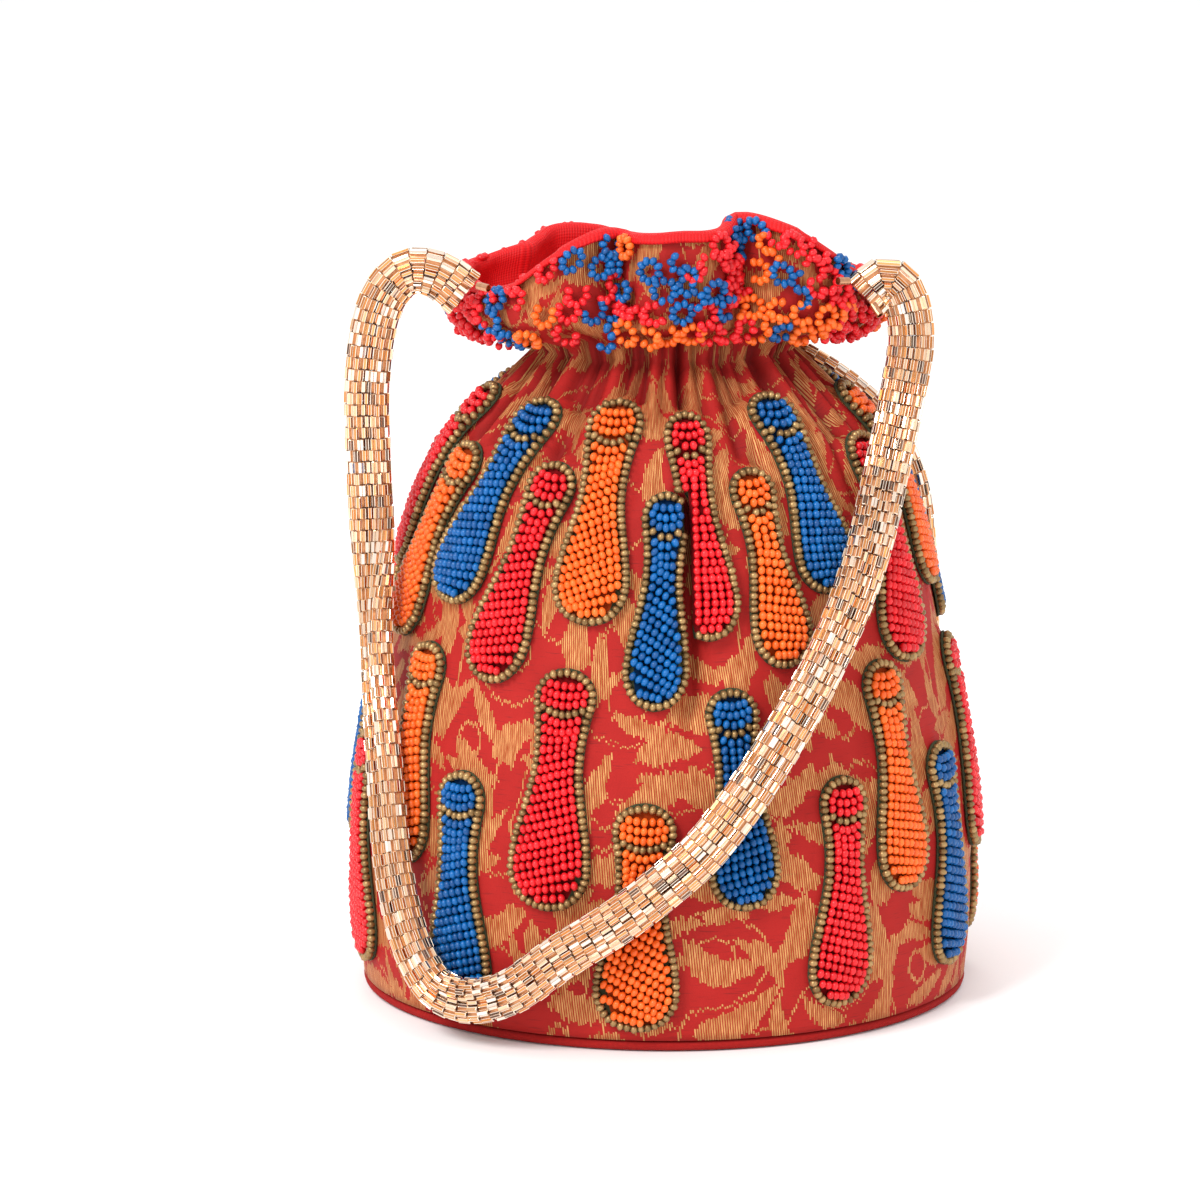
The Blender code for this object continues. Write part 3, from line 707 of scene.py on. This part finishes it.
# Thin stems along the levels of a broad noise
inputs = {"Vector": leaf_place, "Scale": 0.050, "Detail": 0.0}
swirl = add_node(tree, "ShaderNodeTexNoise", inputs).outputs["Fac"]
stem = maths(tree, "PINGPONG", maths(tree, "MULTIPLY", swirl, 9.0), 1.0)
motif = maths(tree, "MAXIMUM", leaves[0], leaves[1])
motif = maths(tree, "MAXIMUM", motif, maths(tree, "SUBTRACT", stem, STEM_EDGE))
in_motif = maths(tree, "GREATER_THAN", motif, 0.02)
ridge = maths(tree, "SINE", maths(tree, "MULTIPLY", strand_share, math.pi))
in_strand = maths(tree, "GREATER_THAN", ridge, 0.56)
gold_share = maths(tree, "MULTIPLY", in_motif, in_strand)
floats = add_node(tree, "ShaderNodeMapping", {"Vector": scaled, "Scale": (1.9, 0.22, 1.0)})
gold_tone = to_range(tree, grain(tree, 1.0, floats.outputs[0]), 0.30, 0.70)
gold = colour_mix(tree, gold_tone, (0.34, 0.105, 0.022), (0.74, 0.41, 0.150))
# Red plain weave with darker slubs across it
warp, weft = threads_over(tree, across, THREAD_APART), threads_over(tree, along, THREAD_APART)
weave = maths(tree, "MULTIPLY", warp, weft)
slubs = add_node(tree, "ShaderNodeMapping", {"Vector": scaled, "Scale": (0.16, 2.6, 1.0)})
slub_dark = to_range(tree, grain(tree, 1.0, slubs.outputs[0]), 0.60, 0.72)
patchy = grain(tree, 0.09, scaled)
ground = colour_mix(tree, patchy, (0.36, 0.012, 0.010), (0.52, 0.022, 0.018))
woven = maths(tree, "MULTIPLY_ADD", weave, 0.16, 0.16)
ground = colour_mix(tree, woven, ground, (0.16, 0.006, 0.008))
dark = maths(tree, "MULTIPLY", slub_dark, 0.55)
ground = colour_mix(tree, dark, ground, (0.12, 0.012, 0.012))
# The gathers' valleys are deep, and painted shade darkens their colour by how far the cloth sinks
# there
valley_shade = add_node(tree, "ShaderNodeAttribute", attribute_name="valley_shade").outputs["Fac"]
valley_shade_share = to_range(tree, valley_shade, 0.15, 0.95, 0.0, 0.72)
woven_colour = colour_mix(tree, gold_share, ground, gold)
valley_shaded_colour = colour_mix(tree, valley_shade_share, woven_colour, (0.09, 0.004, 0.004))
tree.links.new(valley_shaded_colour, surface.inputs["Base Color"])
tree.links.new(maths(tree, "MULTIPLY", gold_share, 0.35), surface.inputs["Metallic"])
tree.links.new(
    maths(tree, "MULTIPLY_ADD", gold_share, -0.20, 0.66), surface.inputs["Roughness"]
)
strand_height = maths(tree, "MULTIPLY", in_motif, ridge)
height = maths(tree, "MULTIPLY_ADD", weave, 0.18, strand_height)
raise_bump(tree, surface, height, 0.55, 0.00016)

cloth = add_piece("brocade_cloth", add_grid("brocade_cloth", rows, widths, heights), brocade)
# Painted shade for the gathers' valleys: how far the cloth sinks below its smooth surface, on the
# neck's gathers only
valley_shades = [
    min((smooth_point(angle, level) - point).length / DEEP_VALLEY, 1.0)
    * ease(0.62, 0.80, level) * (1.0 - ease(1.02, 1.25, level))
    for level, row in zip(levels, rows) for angle, point in zip(angles, row)
]
cloth.data.attributes.new("valley_shade", "FLOAT", "POINT").data.foreach_set("value", valley_shades)
thicken(cloth, CLOTH_THICKNESS)
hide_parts("brocade_wall", "brocade_shoulder", "brocade_ruffle")

# Lining: a bag of bright red ribbed silk hung inside the cloth, folded over the rim and
# stitched down outside as a narrow binding.
CLOTH = 0.0012
CLEARANCE = 0.00035
CREASE_SPREAD = 20.0
ELASTIC_DIAMETER, ELASTIC_ROOM = 0.0012, 0.0020
LINING_AROUND = 240
RIB_APART, SLIP_APART = 0.00105, 0.00060
LINING_LEVELS = (
    0.16, 0.30, 0.43, 0.55, 0.66, 0.74, 0.80, 0.84, 0.87, 0.90, 0.92, 0.94, 0.96, 0.98, 1.0,
    1.03, 1.06, 1.10, 1.15, 1.20, 1.25, 1.31, 1.38, 1.45, 1.52, 1.60, 1.68, 1.76, 1.84, 1.92,
)


def lining_inset(angle, level):
    """Lining's distance inside the smooth cloth: past the gathers, the wall and the elastic."""
    gathers = PLEAT_DEPTH * ease(0.45, 0.9, level) * (1.0 - ease(1.0, 1.3, level))
    beside = max(0.0, 1.0 - abs(turn(angle - valley_angle(0))) / CREASE_SPREAD)
    crease = CREASE_DEPTH * beside * ease(CREASE_FOOT - 0.1, CREASE_FOOT, level)
    crease *= 1.0 - ease(0.9, 1.0, level)
    elastic = (ELASTIC_DIAMETER + ELASTIC_ROOM) * ease(0.75, 0.94, level)
    elastic *= 1.0 - ease(1.15, 1.3, level)
    ruffle = RUFFLE_PLEAT_DEPTH * ease(1.1, 1.3, level)
    return max(gathers, crease) + elastic + ruffle + CLOTH + CLEARANCE


def lining_point(angle, level):
    """Point of the lining, which hangs straight down inside the neck."""
    out = smooth_normal(angle, level)
    if 0.85 < level <= 1.0:
        out.z = 0.0
        out.normalize()
    tuck = 0.0005 * noise.noise(Vector((angle * 0.11, level * 2.0, 3.0)))
    return smooth_point(angle, level) - out * (lining_inset(angle, level) + tuck + 0.0003)


def binding_point(angle, level, reach, rise):
    """Point of the binding, beyond the gathered cloth by its reach and raised."""
    base = smooth_point(angle, level) - smooth_normal(angle, level) * pleat_cut(angle, level)
    return base + smooth_normal(angle, level) * reach + Vector((0.0, 0.0, rise))


lining_angles = [180.0 + 360.0 * i / LINING_AROUND for i in range(LINING_AROUND)]
floor_level = level_at(0.00565 / NECK_HEIGHT)
rows = []
for share in (0.0, 0.35, 0.7):
    middle = Vector((0.0, 0.0, 0.0056))
    rows.append([middle.lerp(lining_point(a, floor_level), share) for a in lining_angles])
rows.append([lining_point(a, floor_level) for a in lining_angles])
rows += [[lining_point(a, level) for a in lining_angles] for level in LINING_LEVELS]
for reach, rise in (
    (-RUFFLE_PLEAT_DEPTH - CLOTH - CLEARANCE, 0.0), (-0.0019, 0.0008), (-0.0008, 0.0012),
    (0.0004, 0.0008), (0.0009, 0.0002),
):
    rows.append([binding_point(a, 2.0, reach, rise) for a in lining_angles])
for level, reach in ((1.988, 0.0012), (1.972, 0.0013), (1.958, 0.0011), (1.950, 0.0006)):
    rows.append([binding_point(a, level, reach, 0.0) for a in lining_angles])
widths = [0.44 * i / LINING_AROUND for i in range(LINING_AROUND + 1)]
heights = [0.0]
for low, high in zip(rows, rows[1:]):
    heights.append(heights[-1] + (high[0] - low[0]).length)

lining_silk, tree, surface = start_finish("red_lining_silk", 0.5, 0.0, 0.2)
threads = add_node(tree, "ShaderNodeUVMap", uv_map="cloth").outputs["UV"]
across, up = across_and_up(tree, threads)
rib, slip = threads_over(tree, across, RIB_APART), threads_over(tree, up, SLIP_APART)
weave = maths(tree, "MULTIPLY_ADD", slip, 0.35, rib)
ground = colour_mix(tree, grain(tree, 90.0, threads), (0.58, 0.003, 0.005), (0.78, 0.010, 0.012))
# Painted shade: the ribs' troughs are darkened in the colour
trough_shade = to_range(tree, weave, -0.2, -1.2, 0.0, 0.5)
tree.links.new(
    colour_mix(tree, trough_shade, ground, (0.30, 0.004, 0.008)), surface.inputs["Base Color"]
)
raise_bump(tree, surface, weave, 0.45, 0.00018)

silk = add_piece("lining_cloth", add_grid("lining_cloth", rows, widths, heights), lining_silk)
silk.data.flip_normals()
# The rings that start at the middle of the bottom close there in one point
bpy.context.view_layer.objects.active = silk
bpy.ops.object.mode_set(mode="EDIT")
bpy.ops.mesh.select_all(action="SELECT")
bpy.ops.mesh.remove_doubles(threshold=0.000001)
bpy.ops.object.mode_set(mode="OBJECT")
thicken(silk, 0.0003)
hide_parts("lining")

# Base: an oval panel of the same cloth under a stiff board, with a roll of red piping
# sewn round its edge. The neck's elastic cord is hidden between cloth and lining.
PIPING_RADIUS = 0.0011
bpy.ops.mesh.primitive_torus_add(
    major_segments=180, minor_segments=10, major_radius=BASE_HALF_WIDTH - PIPING_RADIUS,
    minor_radius=PIPING_RADIUS, location=(0.0, 0.0, PIPING_RADIUS)
)
piping = bpy.context.object
bpy.ops.object.transform_apply(location=True, rotation=False, scale=False)
bpy.ops.object.mode_set(mode="EDIT")
bpy.ops.mesh.select_all(action="SELECT")
bpy.ops.transform.resize(
    value=(1.0, (BASE_HALF_DEPTH - PIPING_RADIUS) / (BASE_HALF_WIDTH - PIPING_RADIUS), 1.0)
)
bpy.ops.object.mode_set(mode="OBJECT")
piping.name = "piping_roll"
piping.data.polygons.foreach_set("use_smooth", [True] * len(piping.data.polygons))

piping_cotton, tree, surface = start_finish("red_piping_cotton", 0.8, 0.0, 0.15)
threads = add_node(tree, "ShaderNodeUVMap", uv_map="UVMap").outputs["UV"]
around, across = across_and_up(tree, threads)
twill = maths(tree, "MULTIPLY_ADD", around, 60.0, across)
twill = maths(tree, "SINE", maths(tree, "MULTIPLY", twill, math.tau * 12))
fuzz = grain(tree, 1600.0)
tree.links.new(
    colour_mix(tree, fuzz, (0.28, 0.008, 0.008), (0.46, 0.017, 0.014)),
    surface.inputs["Base Color"],
)
raise_bump(tree, surface, maths(tree, "ADD", twill, fuzz), 0.6, 0.00015)
piping.data.materials.append(piping_cotton)
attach(piping, "root")
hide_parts("base_piping")

panel_cotton, tree, surface = start_finish("base_panel_cloth", 0.8)
place = add_node(tree, "ShaderNodeTexCoord").outputs["Object"]
across, up = across_and_up(tree, place)
warp, weft = threads_over(tree, across, 0.0005), threads_over(tree, up, 0.0005)
tree.links.new(
    colour_mix(tree, grain(tree, 120.0, place), (0.36, 0.018, 0.016), (0.60, 0.045, 0.035)),
    surface.inputs["Base Color"],
)
raise_bump(tree, surface, maths(tree, "MULTIPLY", warp, weft), 0.5)
grey_board = mottled_finish(
    "grey_board", (0.24, 0.22, 0.19), (0.44, 0.42, 0.38), 600.0, 0.9, relief=0.3
)
white_elastic = mottled_finish(
    "white_elastic", (0.60, 0.58, 0.55), (0.82, 0.80, 0.77), 1500.0, 0.75, relief=0.5
)

for node, finish in (
    ("base_panel", panel_cotton), ("base_board", grey_board), ("neck_elastic", white_elastic)
):
    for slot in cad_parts[node].material_slots:
        slot.material = finish

# Seed beads: a short glass cylinder with rounded rims, its thread along Z. It is modelled
# once for the drops and the ruffle, in three glass colours and in dull gold.
BEAD_RADIUS, BEAD_LONG = 0.00109, 0.00165
BEAD_RIM = 0.00052
BEAD_PITCH = 0.00162
bpy.ops.object.select_all(action="DESELECT")
bpy.ops.mesh.primitive_cylinder_add(vertices=7, radius=BEAD_RADIUS, depth=BEAD_LONG)
bead = bpy.context.object


def is_rim(edge):
    """Whether an edge of the bead lies round one of its ends."""
    ends = [bead.data.vertices[i].co.z for i in edge.vertices]
    return abs(ends[0] - ends[1]) < 0.0001


select_only(bead, "EDGE", is_rim)
bpy.ops.mesh.bevel(offset=BEAD_RIM, offset_type="OFFSET", segments=1, affect="EDGES")
bpy.ops.object.mode_set(mode="OBJECT")
bead_template = take_template(bead)

beads = {}
for colour, dark, light, rough, metal in (
    ("red", (0.54, 0.003, 0.008), (0.90, 0.016, 0.024), 0.30, 0.0),
    ("blue", (0.001, 0.050, 0.19), (0.002, 0.125, 0.40), 0.27, 0.0),
    ("orange", (0.80, 0.095, 0.006), (0.98, 0.170, 0.020), 0.30, 0.0),
    ("gold", (0.15, 0.082, 0.028), (0.46, 0.29, 0.12), 0.36, 0.60),
):
    beads[colour], tree, surface = start_finish(f"{colour}_seed_beads", rough, metal, 0.4)
    tone = add_node(tree, "ShaderNodeAttribute", attribute_name="tone").outputs["Fac"]
    glass = maths(tree, "MULTIPLY_ADD", grain(tree, 800.0), 0.4, maths(tree, "MULTIPLY", tone, 0.8))
    tree.links.new(colour_mix(tree, glass, dark, light), surface.inputs["Base Color"])


def thread_beads(places, closed, chance, grow=1.0):
    """Axes, centres and tones of beads on a thread: (point, outward) pairs, ends included."""
    points = np.array([tuple(point) for point, _ in places])
    outs = np.array([tuple(out) for _, out in places])
    if closed:
        ahead = np.roll(points, -1, axis=0) - np.roll(points, 1, axis=0)
    else:
        ahead = points[2:] - points[:-2]
        points, outs = points[1:-1], outs[1:-1]
    count = len(points)
    tilt = np.array([[chance.gauss(0.0, 0.07) for _ in range(3)] for _ in range(count)])
    ahead = unit(unit(ahead) + tilt)
    outs = unit(outs - ahead * np.sum(outs * ahead, axis=1, keepdims=True))
    beside = np.cross(ahead, outs)
    wide = np.array([[chance.uniform(0.94, 1.03) * grow] for _ in range(count)])
    long = np.array([[chance.uniform(0.86, 1.02)] for _ in range(count)])
    spin = np.array([[chance.uniform(0.0, 0.8)] for _ in range(count)])
    first = (outs * np.cos(spin) + beside * np.sin(spin)) * wide
    second = (beside * np.cos(spin) - outs * np.sin(spin)) * wide
    shift = np.array([[chance.gauss(0.0, 0.00005) for _ in range(3)] for _ in range(count)])
    axes = np.stack([first, second, ahead * long], axis=1)
    return axes, points + shift, [chance.random() for _ in range(count)]


def with_ends(flat, step):
    """A thread's flat points with one more past each end, a step on for a single bead."""
    if len(flat) == 1:
        (x, y), (wide, high) = flat[0], step
        return [(x - wide, y - high), (x, y), (x + wide, y + high)]
    (a, b), (c, d) = flat[:2], flat[-2:]
    return [
        (2 * a[0] - b[0], 2 * a[1] - b[1]), *flat, (2 * d[0] - c[0], 2 * d[1] - c[1])
    ]


def bead_piece(name, threads, finish):
    """One piece of all the beads on some threads."""
    axes = np.concatenate([part[0] for part in threads])
    centres = np.concatenate([part[1] for part in threads])
    tones = [value for part in threads for value in part[2]]
    return add_piece(name, lay_copies(bead_template, axes, centres, tones, True), finish)


# Beaded drops: a stiff bottle shape of dark green felt sewn flat on the cloth, filled with
# rows of glass seed beads and edged with dull gold ones, with a gold row across its neck.
FELT_LOW, FELT_HIGH = 0.0002, 0.0007
EDGE_INSET, EDGE_LIFT = 0.00130, 0.00142
FILL_INSET, FILL_LIFT, FILL_DOME = 0.0030, 0.00150, 0.0007
FELT_INSET = 0.0005
ROW_APART = 0.00205
BAND_DOWN, BAND_SAG = 0.0094, 0.0014

felt = mottled_finish(
    "dark_green_felt", (0.012, 0.016, 0.006), (0.065, 0.070, 0.025), 1300.0, 0.95, relief=0.5
)
# Thread and felt under the glass rows take a darker version of the glass colour: partly the thread's
# colour, partly painted shade in the gaps between beads
backing_shade = {
    colour: mottled_finish(f"{colour}_backing", dark, light, 1500.0, 0.9, gloss=0.1)
    for colour, dark, light in (
        ("red", (0.10, 0.002, 0.003), (0.22, 0.004, 0.006)),
        ("blue", (0.001, 0.012, 0.045), (0.001, 0.025, 0.09)),
        ("orange", (0.22, 0.022, 0.003), (0.40, 0.050, 0.006)),
    )
}


def cloth_scales(angle, level):
    """Metres to a degree round the cloth, and to a level up it, at a place."""
    beside = smooth_point(angle + 0.5, level) - smooth_point(angle - 0.5, level)
    above = smooth_point(angle, level + 0.01) - smooth_point(angle, level - 0.01)
    return beside.length, above.length / 0.02


def drop_spot(drop, across, down):
    """Angle and level at a place on a drop: metres across it, and share of its length."""
    cap, toe = drop[:2]
    angle = cap[0] + (toe[0] - cap[0]) * down
    level = cap[1] + (toe[1] - cap[1]) * down
    per_degree, per_level = cloth_scales(angle, level)
    run, fall = (toe[0] - cap[0]) * per_degree, (toe[1] - cap[1]) * per_level
    length = math.hypot(run, fall)
    return (
        angle - across * fall / length / per_degree,
        level + across * run / length / per_level,
    )


def off_cloth(angle, level, lift, side=0.0):
    """Point and outward direction off the cloth, which sinks at a cut drop's crease."""
    if side and level < CREASE_TOP:
        near = 1.0 - ease(0.5, 2.4, abs(turn(angle - valley_angle(0))))
        lift -= 0.6 * pleat_cut(angle, level) * near
    out = smooth_normal(angle, level)
    return smooth_point(angle, level) + out * lift, out


def flat_outline(length, share, inset):
    """Drop's outline in flat metres across and down, drawn in by an inset."""
    downs = [0.5 - 0.5 * math.cos(math.pi * i / 56) for i in range(57)]
    right = [Vector((blend(DROP_OUTLINE, t) * share, t * length)) for t in downs]
    path = right + [Vector((-point.x, point.y)) for point in reversed(right[1:-1])]
    moved = []
    for before, point, after in zip(path[-1:] + path[:-1], path, path[1:] + path[:1]):
        along = (after - before).normalized()
        moved.append(point + Vector((-along.y, along.x)) * inset)
    return moved


def crossings(path, height, slope):
    """How far left and right a slanted line through (0, height) runs inside a closed path."""
    met = []
    for a, b in zip(path, path[1:] + path[:1]):
        over = [point.y - height - point.x * slope for point in (a, b)]
        if over[0] * over[1] < 0.0:
            met.append(a.x + (b.x - a.x) * over[0] / (over[0] - over[1]))
    return (min(met), max(met)) if met else None


chance = random.Random(73)
for number, drop in enumerate(drops, 1):
    cap, toe, share, colour, slant = drop
    side = crease_side((cap[0] + toe[0]) / 2)
    spine = [
        smooth_point(cap[0] + (toe[0] - cap[0]) * i / 24, cap[1] + (toe[1] - cap[1]) * i / 24)
        for i in range(25)
    ]
    length = sum((after - before).length for before, after in zip(spine, spine[1:]))

    def lay(flat, lift, dome=0.0):
        """Points and outward directions on this drop for flat points on it."""
        laid = []
        for x, y in flat:
            angle, level = drop_spot(drop, x, y / length)
            across = x / (blend(DROP_OUTLINE, min(max(y / length, 0.03), 0.97)) * share)
            laid.append(off_cloth(angle, level, lift + dome * (1.0 - across * across), side))
        return laid

    def kept(flat):
        """Flat points that don't lie past the crease which cuts this drop."""
        if not side:
            return flat
        left = []
        for x, y in flat:
            angle, level = drop_spot(drop, x, y / length)
            past = turn(angle - valley_angle(0)) * side < 0.9
            if not (past and CREASE_FOOT < level < CREASE_TOP):
                left.append((x, y))
        return left

    # Felt: closed rings from the cap to the toe
    rings = []
    for i in range(21):
        down = 0.5 - 0.497 * math.cos(math.pi * i / 20)
        half = blend(DROP_OUTLINE, down) * share - FELT_INSET
        ring = []
        for lift, order in ((FELT_HIGH, range(7)), (FELT_LOW, range(6, -1, -1))):
            for j in order:
                angle, level = drop_spot(drop, half * (j / 3.0 - 1.0), down)
                if side and CREASE_FOOT < level < CREASE_TOP:
                    reach = max(turn(angle - valley_angle(0)) * side, 0.7)
                    angle = valley_angle(0) + reach * side
                ring.append(tuple(off_cloth(angle, level, lift, side)[0]))
        rings.append(ring)
    body = skin_tubes([np.array(rings)])
    # Faces under the glass rows take the darker backing colour, partly painted shade between the
    # beads
    for i in range(2, 18):
        for j in range(1, 5):
            body.polygons[14 * i + j].material_index = 1
    base = add_piece(f"drop_{number:02d}_felt", body, felt, backing_shade[colour])

    # Gold edge and the gold row across the neck
    edge = flat_outline(length, share, EDGE_INSET)
    reach = [0.0]
    for before, after in zip(edge, edge[1:] + edge[:1]):
        reach.append(reach[-1] + (after - before).length)
    count = round(reach[-1] / BEAD_PITCH)
    spots = [reach[-1] * i / count for i in range(count)]
    sides = [[point[k] for point in edge + edge[:1]] for k in range(2)]
    flat = list(zip(np.interp(spots, reach, sides[0]), np.interp(spots, reach, sides[1])))
    inside = kept(flat)
    if len(inside) < len(flat):
        first = next(i for i, point in enumerate(flat) if point not in inside)
        inside = kept(flat[first:] + flat[:first])
    whole = len(inside) == len(flat)
    if not whole:
        inside = with_ends(inside, (BEAD_PITCH, 0.0))
    threads = [thread_beads(lay(inside, EDGE_LIFT), whole, chance)]
    half = blend(DROP_OUTLINE, BAND_DOWN / length) * share - EDGE_INSET - BEAD_PITCH
    count = max(round(2.0 * half / BEAD_PITCH), 2)
    flat = [(half * (2.0 * i / count - 1.0), BAND_DOWN) for i in range(count + 1)]
    flat = kept([(x, y + BAND_SAG * (1.0 - (x / half) ** 2)) for x, y in flat])
    if flat:
        flat = with_ends(flat, (BEAD_PITCH, 0.0))
        threads.append(thread_beads(lay(flat, EDGE_LIFT + 0.0003), False, chance))
    gold = bead_piece(f"drop_{number:02d}_edge", threads, beads["gold"])

    # Glass rows: level ones in the cap, slanted ones in the body
    field = flat_outline(length, share, FILL_INSET)
    slope = math.tan(math.radians(slant))
    rows = [
        (BAND_DOWN - 0.00175 - 0.00185 * k, 0.0, BAND_SAG * (0.71 - 0.21 * k)) for k in range(3)
    ]
    apart = ROW_APART / math.cos(math.radians(slant))
    first, last = BAND_DOWN + 0.0020, length - FILL_INSET - 0.0005
    count = round((last - first) / apart)
    for k in range(count + 1):
        height = first + (last - first) * k / count
        leans = ease(0.002, 0.012, height - BAND_DOWN) * (1.0 - ease(-0.010, 0.001, height - length))
        sag = BAND_SAG * (1.0 - ease(0.0, 0.010, height - first))
        rows.append((height, slope * leans, sag))
    threads = []
    for height, tilt, sag in rows:
        ends = crossings(field, height + 0.7 * sag, tilt)
        if not ends:
            continue
        near, far = ends
        here, level = drop_spot(drop, 0.0, height / length)
        if side and CREASE_FOOT < level < CREASE_TOP:
            per_metre = (drop_spot(drop, 0.001, height / length)[0] - here) / 0.001
            cut = (valley_angle(0) + 1.7 * side - here) / per_metre
            near, far = (max(near, cut), far) if side > 0.0 else (near, min(far, cut))
        if far < near:
            continue
        run = (far - near) * math.hypot(1.0, tilt)
        count = round(run / BEAD_PITCH)
        step = (far - near) / count if count else BEAD_PITCH
        start = near if count else (near + far) / 2
        flat = [
            (x, height + x * tilt + sag * (1.0 - (x / half) ** 2))
            for x in (start + step * i for i in range(count + 1))
        ]
        if height > BAND_DOWN:
            under = BAND_DOWN + 0.0014
            flat = [
                (x, y) for x, y in flat if y > under + BAND_SAG * (1.0 - (x / half) ** 2)
            ]
        if flat:
            flat = with_ends(flat, (BEAD_PITCH, BEAD_PITCH * tilt))
            threads.append(thread_beads(lay(flat, FILL_LIFT, FILL_DOME), False, chance))
    glass = bead_piece(f"drop_{number:02d}_beads", threads, beads[colour])
    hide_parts(f"bead_drop_{number:02d}")

# Ruffle beadwork: short threads of seed beads sewn down in rings, hooks and curls that
# stand off the brocade, in patches of red, blue and orange, each at an angle and a level.
PATCHES = {
    "red": ((-86, 1.5), (-74, 1.65), (-72, 1.25), (-60, 1.20), (-62, 1.60), (-36, 1.75),
        (-29, 1.66), (-27, 1.46), (-31, 1.18), (-8, 1.40), (0, 1.44), (8, 1.36), (12, 1.78),
        (18, 1.66), (22, 1.52), (19, 1.24), (38, 1.84), (44, 1.70), (50, 1.62), (60, 1.50),
        (62, 1.28), (74, 1.45), (106, 1.6), (136, 1.6), (176, 1.4), (220, 1.6), (250, 1.6)),
    "blue": ((-53, 1.52), (-50, 1.36), (-46, 1.10), (-23, 1.88), (-19, 1.74), (-17, 1.52),
        (-21, 1.30), (-7, 1.66), (-2, 1.62), (4, 1.66), (6, 1.50), (14, 1.42), (28, 1.92),
        (34, 1.56), (36, 1.12), (58, 1.88), (120, 1.4), (162, 1.7), (204, 1.4), (262, 1.4)),
    "orange": ((-42, 1.36), (-35, 1.38), (-40, 1.20), (-12, 1.78), (-13, 1.36), (-3, 1.22),
        (4, 1.20), (29, 1.68), (26, 1.38), (34, 1.36), (41, 1.28), (49, 1.42), (92, 1.5),
        (150, 1.3), (190, 1.7), (236, 1.4)),
}
# Places where the brocade shows between the loops: angle, level and half sizes
BARE_SPOTS = ((-43, 1.62, 8, 0.12), (2, 1.95, 9, 0.11), (-25, 1.30, 5, 0.08), (12, 1.16, 7, 0.06))
LOOP_RADIUS = 0.00230
LOOP_APART = 0.0047
LOOP_LIFT = 0.0014
# What a level counts for in the distance to a patch
DEGREES_A_LEVEL = 34


def loop_points(kind):
    """Flat points of a thread's beads: a ring, a hook or a double curl; and if it closes."""
    if kind == "ring":
        turns = [math.tau * i / 9 for i in range(9)]
        return [(LOOP_RADIUS * math.sin(a), LOOP_RADIUS * math.cos(a)) for a in turns], True
    if kind == "hook":
        turns = [math.tau * i / 9 for i in range(-1, 8)]
        return [(LOOP_RADIUS * math.sin(a), LOOP_RADIUS * math.cos(a)) for a in turns], False
    small = 0.82 * LOOP_RADIUS
    upper = [math.radians(-250 + 50 * i) for i in range(6)]
    points = [(small * math.sin(a), small + small * math.cos(a)) for a in upper]
    return [(-x, -y) for x, y in points] + list(reversed(points)), False


loops = {"red": [], "blue": [], "orange": []}
chance = random.Random(29)
around = 58
for column in range(around):
    middle = 360.0 * column / around
    tall = rim_height(middle) * 0.84
    stages = max(round(tall / LOOP_APART), 2)
    for stage in range(stages):
        shift = 0.5 * (stage % 2)
        angle = 360.0 * (column + shift) / around + chance.uniform(-1.1, 1.1)
        level = 1.16 + 0.84 * (stage + 0.5) / stages + chance.uniform(-0.02, 0.02)
        bare = any(
            math.hypot(turn(angle - middle) / wide, (level - up) / high) < 1.0
            for middle, up, wide, high in BARE_SPOTS
        )
        if bare or chance.random() < 0.06:
            continue
        colour = min(
            (math.hypot(turn(angle - middle), (level - up) * DEGREES_A_LEVEL), own)
            for own, patches in PATCHES.items() for middle, up in patches
        )[1]
        if chance.random() < 0.08:
            colour = "red"
        flat, closed = loop_points(chance.choice(("ring", "ring", "hook", "curl", "hook")))
        turned, lean = chance.uniform(0.0, math.tau), chance.uniform(-0.25, 0.25)
        per_degree, per_level = cloth_scales(angle, level)
        laid = []
        for x, y in flat:
            wide = x * math.cos(turned) - y * math.sin(turned)
            high = x * math.sin(turned) + y * math.cos(turned)
            lift = LOOP_LIFT + lean * high + chance.uniform(-0.0002, 0.0003)
            spot = angle + wide / per_degree, level + high / per_level
            lift -= pleat_cut(*spot)
            laid.append(off_cloth(*spot, max(lift, 0.0009)))
        loops[colour].append(thread_beads(laid, closed, chance))
for colour, threads in loops.items():
    work = bead_piece(f"ruffle_loops_{colour}", threads, beads[colour])
    if colour == "red":
        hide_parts("ruffle_beadwork")

# Strap-end sleeves: thin copper tubes, open at their ends, that stick out where each strap
# is sewn in. (middle, direction) in millimetres
TUBE_RADIUS, TUBE_LONG = 0.00092, 0.0032
TUBES = (
    ((-42.6, -28.2, 172.6), (1.0, -0.80, -0.15)), ((40.6, -28.2, 174.0), (-1.0, -0.80, 0.10)),
    ((48.5, -26.5, 167.0), (0.55, -0.60, -0.80)),
)
bpy.ops.object.select_all(action="DESELECT")
bpy.ops.mesh.primitive_cylinder_add(vertices=14, radius=1.0, depth=1.0, end_fill_type="NOTHING")
tube = bpy.context.object
tube.data.polygons.foreach_set("use_smooth", [True] * len(tube.data.polygons))
thicken(tube, 0.22)
tube_template = take_template(tube)
axes, centres = [], []
for middle, heading in TUBES:
    ahead = Vector(heading).normalized()
    first = ahead.orthogonal().normalized()
    second = ahead.cross(first)
    axes.append([tuple(first * TUBE_RADIUS), tuple(second * TUBE_RADIUS), tuple(ahead * TUBE_LONG)])
    centres.append([value * 0.001 for value in middle])
tubes = lay_copies(tube_template, np.array(axes), np.array(centres), [0.5] * len(TUBES))
copper = mottled_finish(
    "copper_tubes", (0.40, 0.17, 0.08), (0.75, 0.42, 0.26), 900.0, 0.25, 1.0
)
ends = add_piece("strap_end_tubes", tubes, copper)
